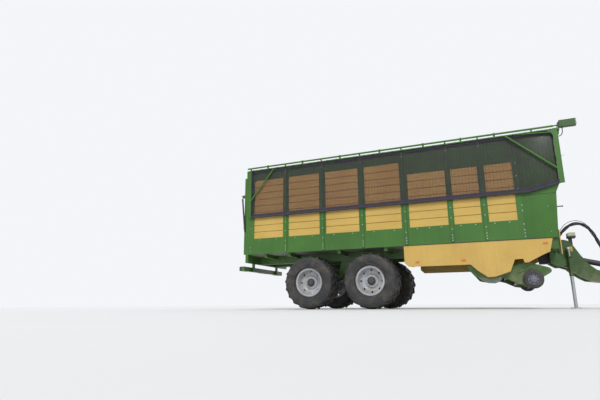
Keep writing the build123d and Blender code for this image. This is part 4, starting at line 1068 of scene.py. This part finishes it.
def gate_trim():
    """Rubber seal round the tailgate, and claws that hold its lower edge"""
    low, upright, top = (soften(brick((REAR - 0.021, y, z0), (REAR - 0.003, 1.178, z1)), 0.004)
                         for y, z0, z1 in ((-1.178, 1.492, 1.52), (1.15, 1.52, 3.66), (-1.178, 3.66, 3.688)))
    fit("gate_seal", [low, top] + both(upright), "hose", "tailgate")
    claw = panel((GATE_REAR - 0.03, 0.88, 1.5), (GATE_REAR - 0.002, 0.92, 1.64), REARWARD, 0.006, 0.004, 0.003)
    roller = turned((GATE_REAR - 0.018, 0.866, 1.61), LEFTWARD, mm(0, 12, 3, 14, 65, 14, 68, 12), 18)
    fit("gate_claws", both(claw, roller), "zinc", "tailgate")


# Cylinders in pairs: piece, body, foot and eye of the left one, rings along it, and its port with its place and
# direction
CYLINDERS = (
    ("ram_glands", "drawbar_barrels", (back(0.56), 0.13, 1.39), (FRONT + 0.16, 0.13, 1.46),
     [mm(438, 28.4, 441, 31.5, 468, 31.5, 474, 27, 476, 17.5)], mm(20, 12, 40, 12, 42, 10), 0.1, UP),
    ("gate_ram_glands", "tailgate_barrels", (REAR - 0.06, 1.222, 2.15), (REAR - 0.16, 1.222, 3.16),
     [mm(896, 23.3, 899, 26.2, 928, 26.2, 934, 21.5, 936, 12.5), mm(30, 23.3, 33, 25.5, 50, 25.5, 53, 23.3)],
     mm(18, 10, 36, 10, 38, 8), 0.085, REARWARD),
)


def cylinder_glands():
    """End rings and ports of the cylinders"""
    for name, body, foot, eye, rings, port, port_at, port_way in CYLINDERS:
        foot = Vector(foot)
        along = (Vector(eye) - foot).normalized()
        parts = [turned(foot, along, profile, 28) for profile in rings]
        parts.append(turned(foot + along * port_at, port_way, port, 6))
        fit(name, both(*parts), "dark", body)


BRAKE_CHAMBER = mm(0, 60, 20, 72, 60, 76, 64, 82, 74, 82, 78, 76, 115, 72, 130, 58, 134, 20)
AIR_TANK = mm(0, 30, 8, 80, 28, 112, 60, 125, 620, 125, 652, 112, 672, 80, 680, 30)


def brake_gear():
    """Brake chambers with their levers ahead of both axles, and the air tank between the main beams"""
    pots, rods = [], []
    for x in AXLES:
        pots.append(turned((x + 0.175, 0.235, 0.8), LEFTWARD, BRAKE_CHAMBER, 32))
        pots.append(soften(brick((x + 0.04, 0.29, 0.735), (x + 0.11, 0.312, 0.85)), 0.004))
        rods.append(turned((x + 0.175, 0.368, 0.8), LEFTWARD, mm(0, 8, 55, 8, 60, 12, 66, 12), 14))
    fit("brake_chambers", both(*pots), "dark", "chassis")
    fit("brake_rods", both(*rods), "zinc", "chassis")
    x, z = back(3.3), 1.205
    tank = turned((x, -0.34, z), LEFTWARD, AIR_TANK, 40)
    straps = [turned((x, y, z), LEFTWARD, mm(0, 125.2, 1, 127.5, 39, 127.5, 40, 125.2), 40) for y in (-0.22, 0.18)]
    straps += [soften(brick((x - 0.012, y, 1.325), (x + 0.012, y + 0.04, 1.472)), 0.003, 1) for y in (-0.22, 0.18)]
    fit("air_tank", tank, "dark", "chassis")
    fit("air_tank_straps", straps, "zinc", "chassis")


# ---- scraper floor and pickup
FLOOR_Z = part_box("load_floor")[1][2]
CHAIN_Y = (1.08, 0.15)  # distance of the chains from the middle
CHAIN_STEP = 0.0375
SLATS, SLAT_STEP = 17, 0.33
TINE_BARS, TINES = 6, 16


def scraper_floor():
    """Round link chains along the floor, and the slats that they draw"""
    link = ring(UP, 0.0125, 0.0048, 10, 4)
    for point in link.data.vertices:
        point.co.x += 0.011 if point.co.x > 0 else -0.011
    first, last = REAR + 0.075, back(1.95) - 0.055
    moves = []
    for y in (-CHAIN_Y[0], -CHAIN_Y[1], CHAIN_Y[1], CHAIN_Y[0]):
        for i in range(int((last - first) / CHAIN_STEP) + 1):
            place = shift(first + i * CHAIN_STEP, y, FLOOR_Z + 0.0172)
            moves.append(place @ spin(90, "X") if i % 2 else place)
    fit("floor_chains", copies(smooth(link, 60), moves), "chain", "chassis", "scraper_chains")
    slat = brick((-0.022, CHAIN_Y[1], 0), (0.022, CHAIN_Y[0], 0.03))
    pick(slat, facing(UP))
    bpy.ops.transform.resize(value=(0.55, 1, 1), center_override=(0, 0, 0.03))
    leave_edit()
    soften(slat, 0.003)
    saddles = [soften(brick((-0.03, y - 0.034, 0), (0.03, y + 0.034, 0.022)), 0.004, 1) for y in CHAIN_Y]
    moves = []
    for i in range(SLATS):
        place = shift(REAR + 0.11 + i * SLAT_STEP, 0, FLOOR_Z)
        moves += [place, place @ MIRROR]
    fit("floor_slats", copies(joined("slat", [slat] + saddles), moves), "chain", "chassis")


def tine_coils():
    """Spring coils at the roots of the pickup's tines"""
    moves = [shift(back(0.58), 0, 0.72) @ spin(360 / TINE_BARS * i) @ shift(0, (k - 7.5) * 0.125 + step, 0.132)
             for i in range(TINE_BARS) for k in range(TINES) for step in (-0.0125, 0.0125)]
    coil = ring(LEFTWARD, 0.0185, 0.0042, 12, 4)
    fit("tine_coils", copies(smooth(coil, 60), moves), "spring", "reel")


def pickup_rails():
    """Stiffening rail pressed along each side plate of the pickup"""
    rail = panel((-0.172, 0.0005, -0.024), (0.172, -0.012, 0.024), RIGHTWARD, 0.009, 0.003, 0.003)
    place = shift(2.04, -1.085, 0.838) @ spin(-21.5)
    fit("pickup_rails", copies(rail, [place, MIRROR @ place]), "green_low", "pickup")


# ---- stage
def set_stage():
    """Pale ground, soft sky and two lamps"""
    drop_selection()
    bpy.ops.mesh.primitive_circle_add(vertices=96, radius=140, fill_type="NGON", location=(0, 0, 0))
    ground = bpy.context.active_object
    ground.name = "floor"
    f = Finish("pale_floor")
    tone = f.mix(f.noise(0.8, 3), (0.8, 0.8, 0.79), (0.83, 0.83, 0.82))
    ground.data.materials.append(f.use(tone, 0.85))
    world = bpy.data.worlds.new("soft_sky")
    bpy.context.scene.world = world
    world.use_nodes = True
    tree = world.node_tree
    tree.nodes.clear()
    out, blend, path, light, seen, either = (tree.nodes.new("ShaderNode" + kind) for kind in (
        "OutputWorld", "MixShader", "LightPath", "Background", "Background", "Math"))
    either.operation = "MAXIMUM"
    for sky, colour, strength in ((light, (0.93, 0.96, 1, 1), 0.72), (seen, (0.9, 0.92, 0.95, 1), 1)):
        sky.inputs[0].default_value = colour
        sky.inputs[1].default_value = strength
    for source, socket in ((path.outputs["Is Camera Ray"], either.inputs[0]),
                           (path.outputs["Is Glossy Ray"], either.inputs[1]),
                           (either.outputs[0], blend.inputs[0]), (light.outputs[0], blend.inputs[1]),
                           (seen.outputs[0], blend.inputs[2]), (blend.outputs[0], out.inputs[0])):
        tree.links.new(source, socket)
    for name, strength, angle, turn in (("key", 1.35, 14, (radians(48), radians(12), radians(8))),
                                        ("fill", 0.35, 60, (radians(60), 0, radians(-120)))):
        data = bpy.data.lights.new(name, "SUN")
        data.energy = strength
        data.angle = radians(angle)
        put(name, data).rotation_euler = turn
    bpy.context.scene.view_settings.view_transform = "Standard"


for side, sign in RIGHT_LEFT:
    make_net(side, sign)
for make in (set_wall_bolts, set_wheel_caps, set_tyre_rings, set_gauge_rims, corner_sheets, wall_seal, pegs_and_hooks,
             drive_covers, drawbar_fittings, hose_box_tray, sheet_joints, jack_crank, shaft_guard, rear_lamps,
             gate_trim, cylinder_glands, brake_gear, scraper_floor, tine_coils, pickup_rails, set_stage):
    make()

# ---- bring the scene up to date
bpy.context.view_layer.update()
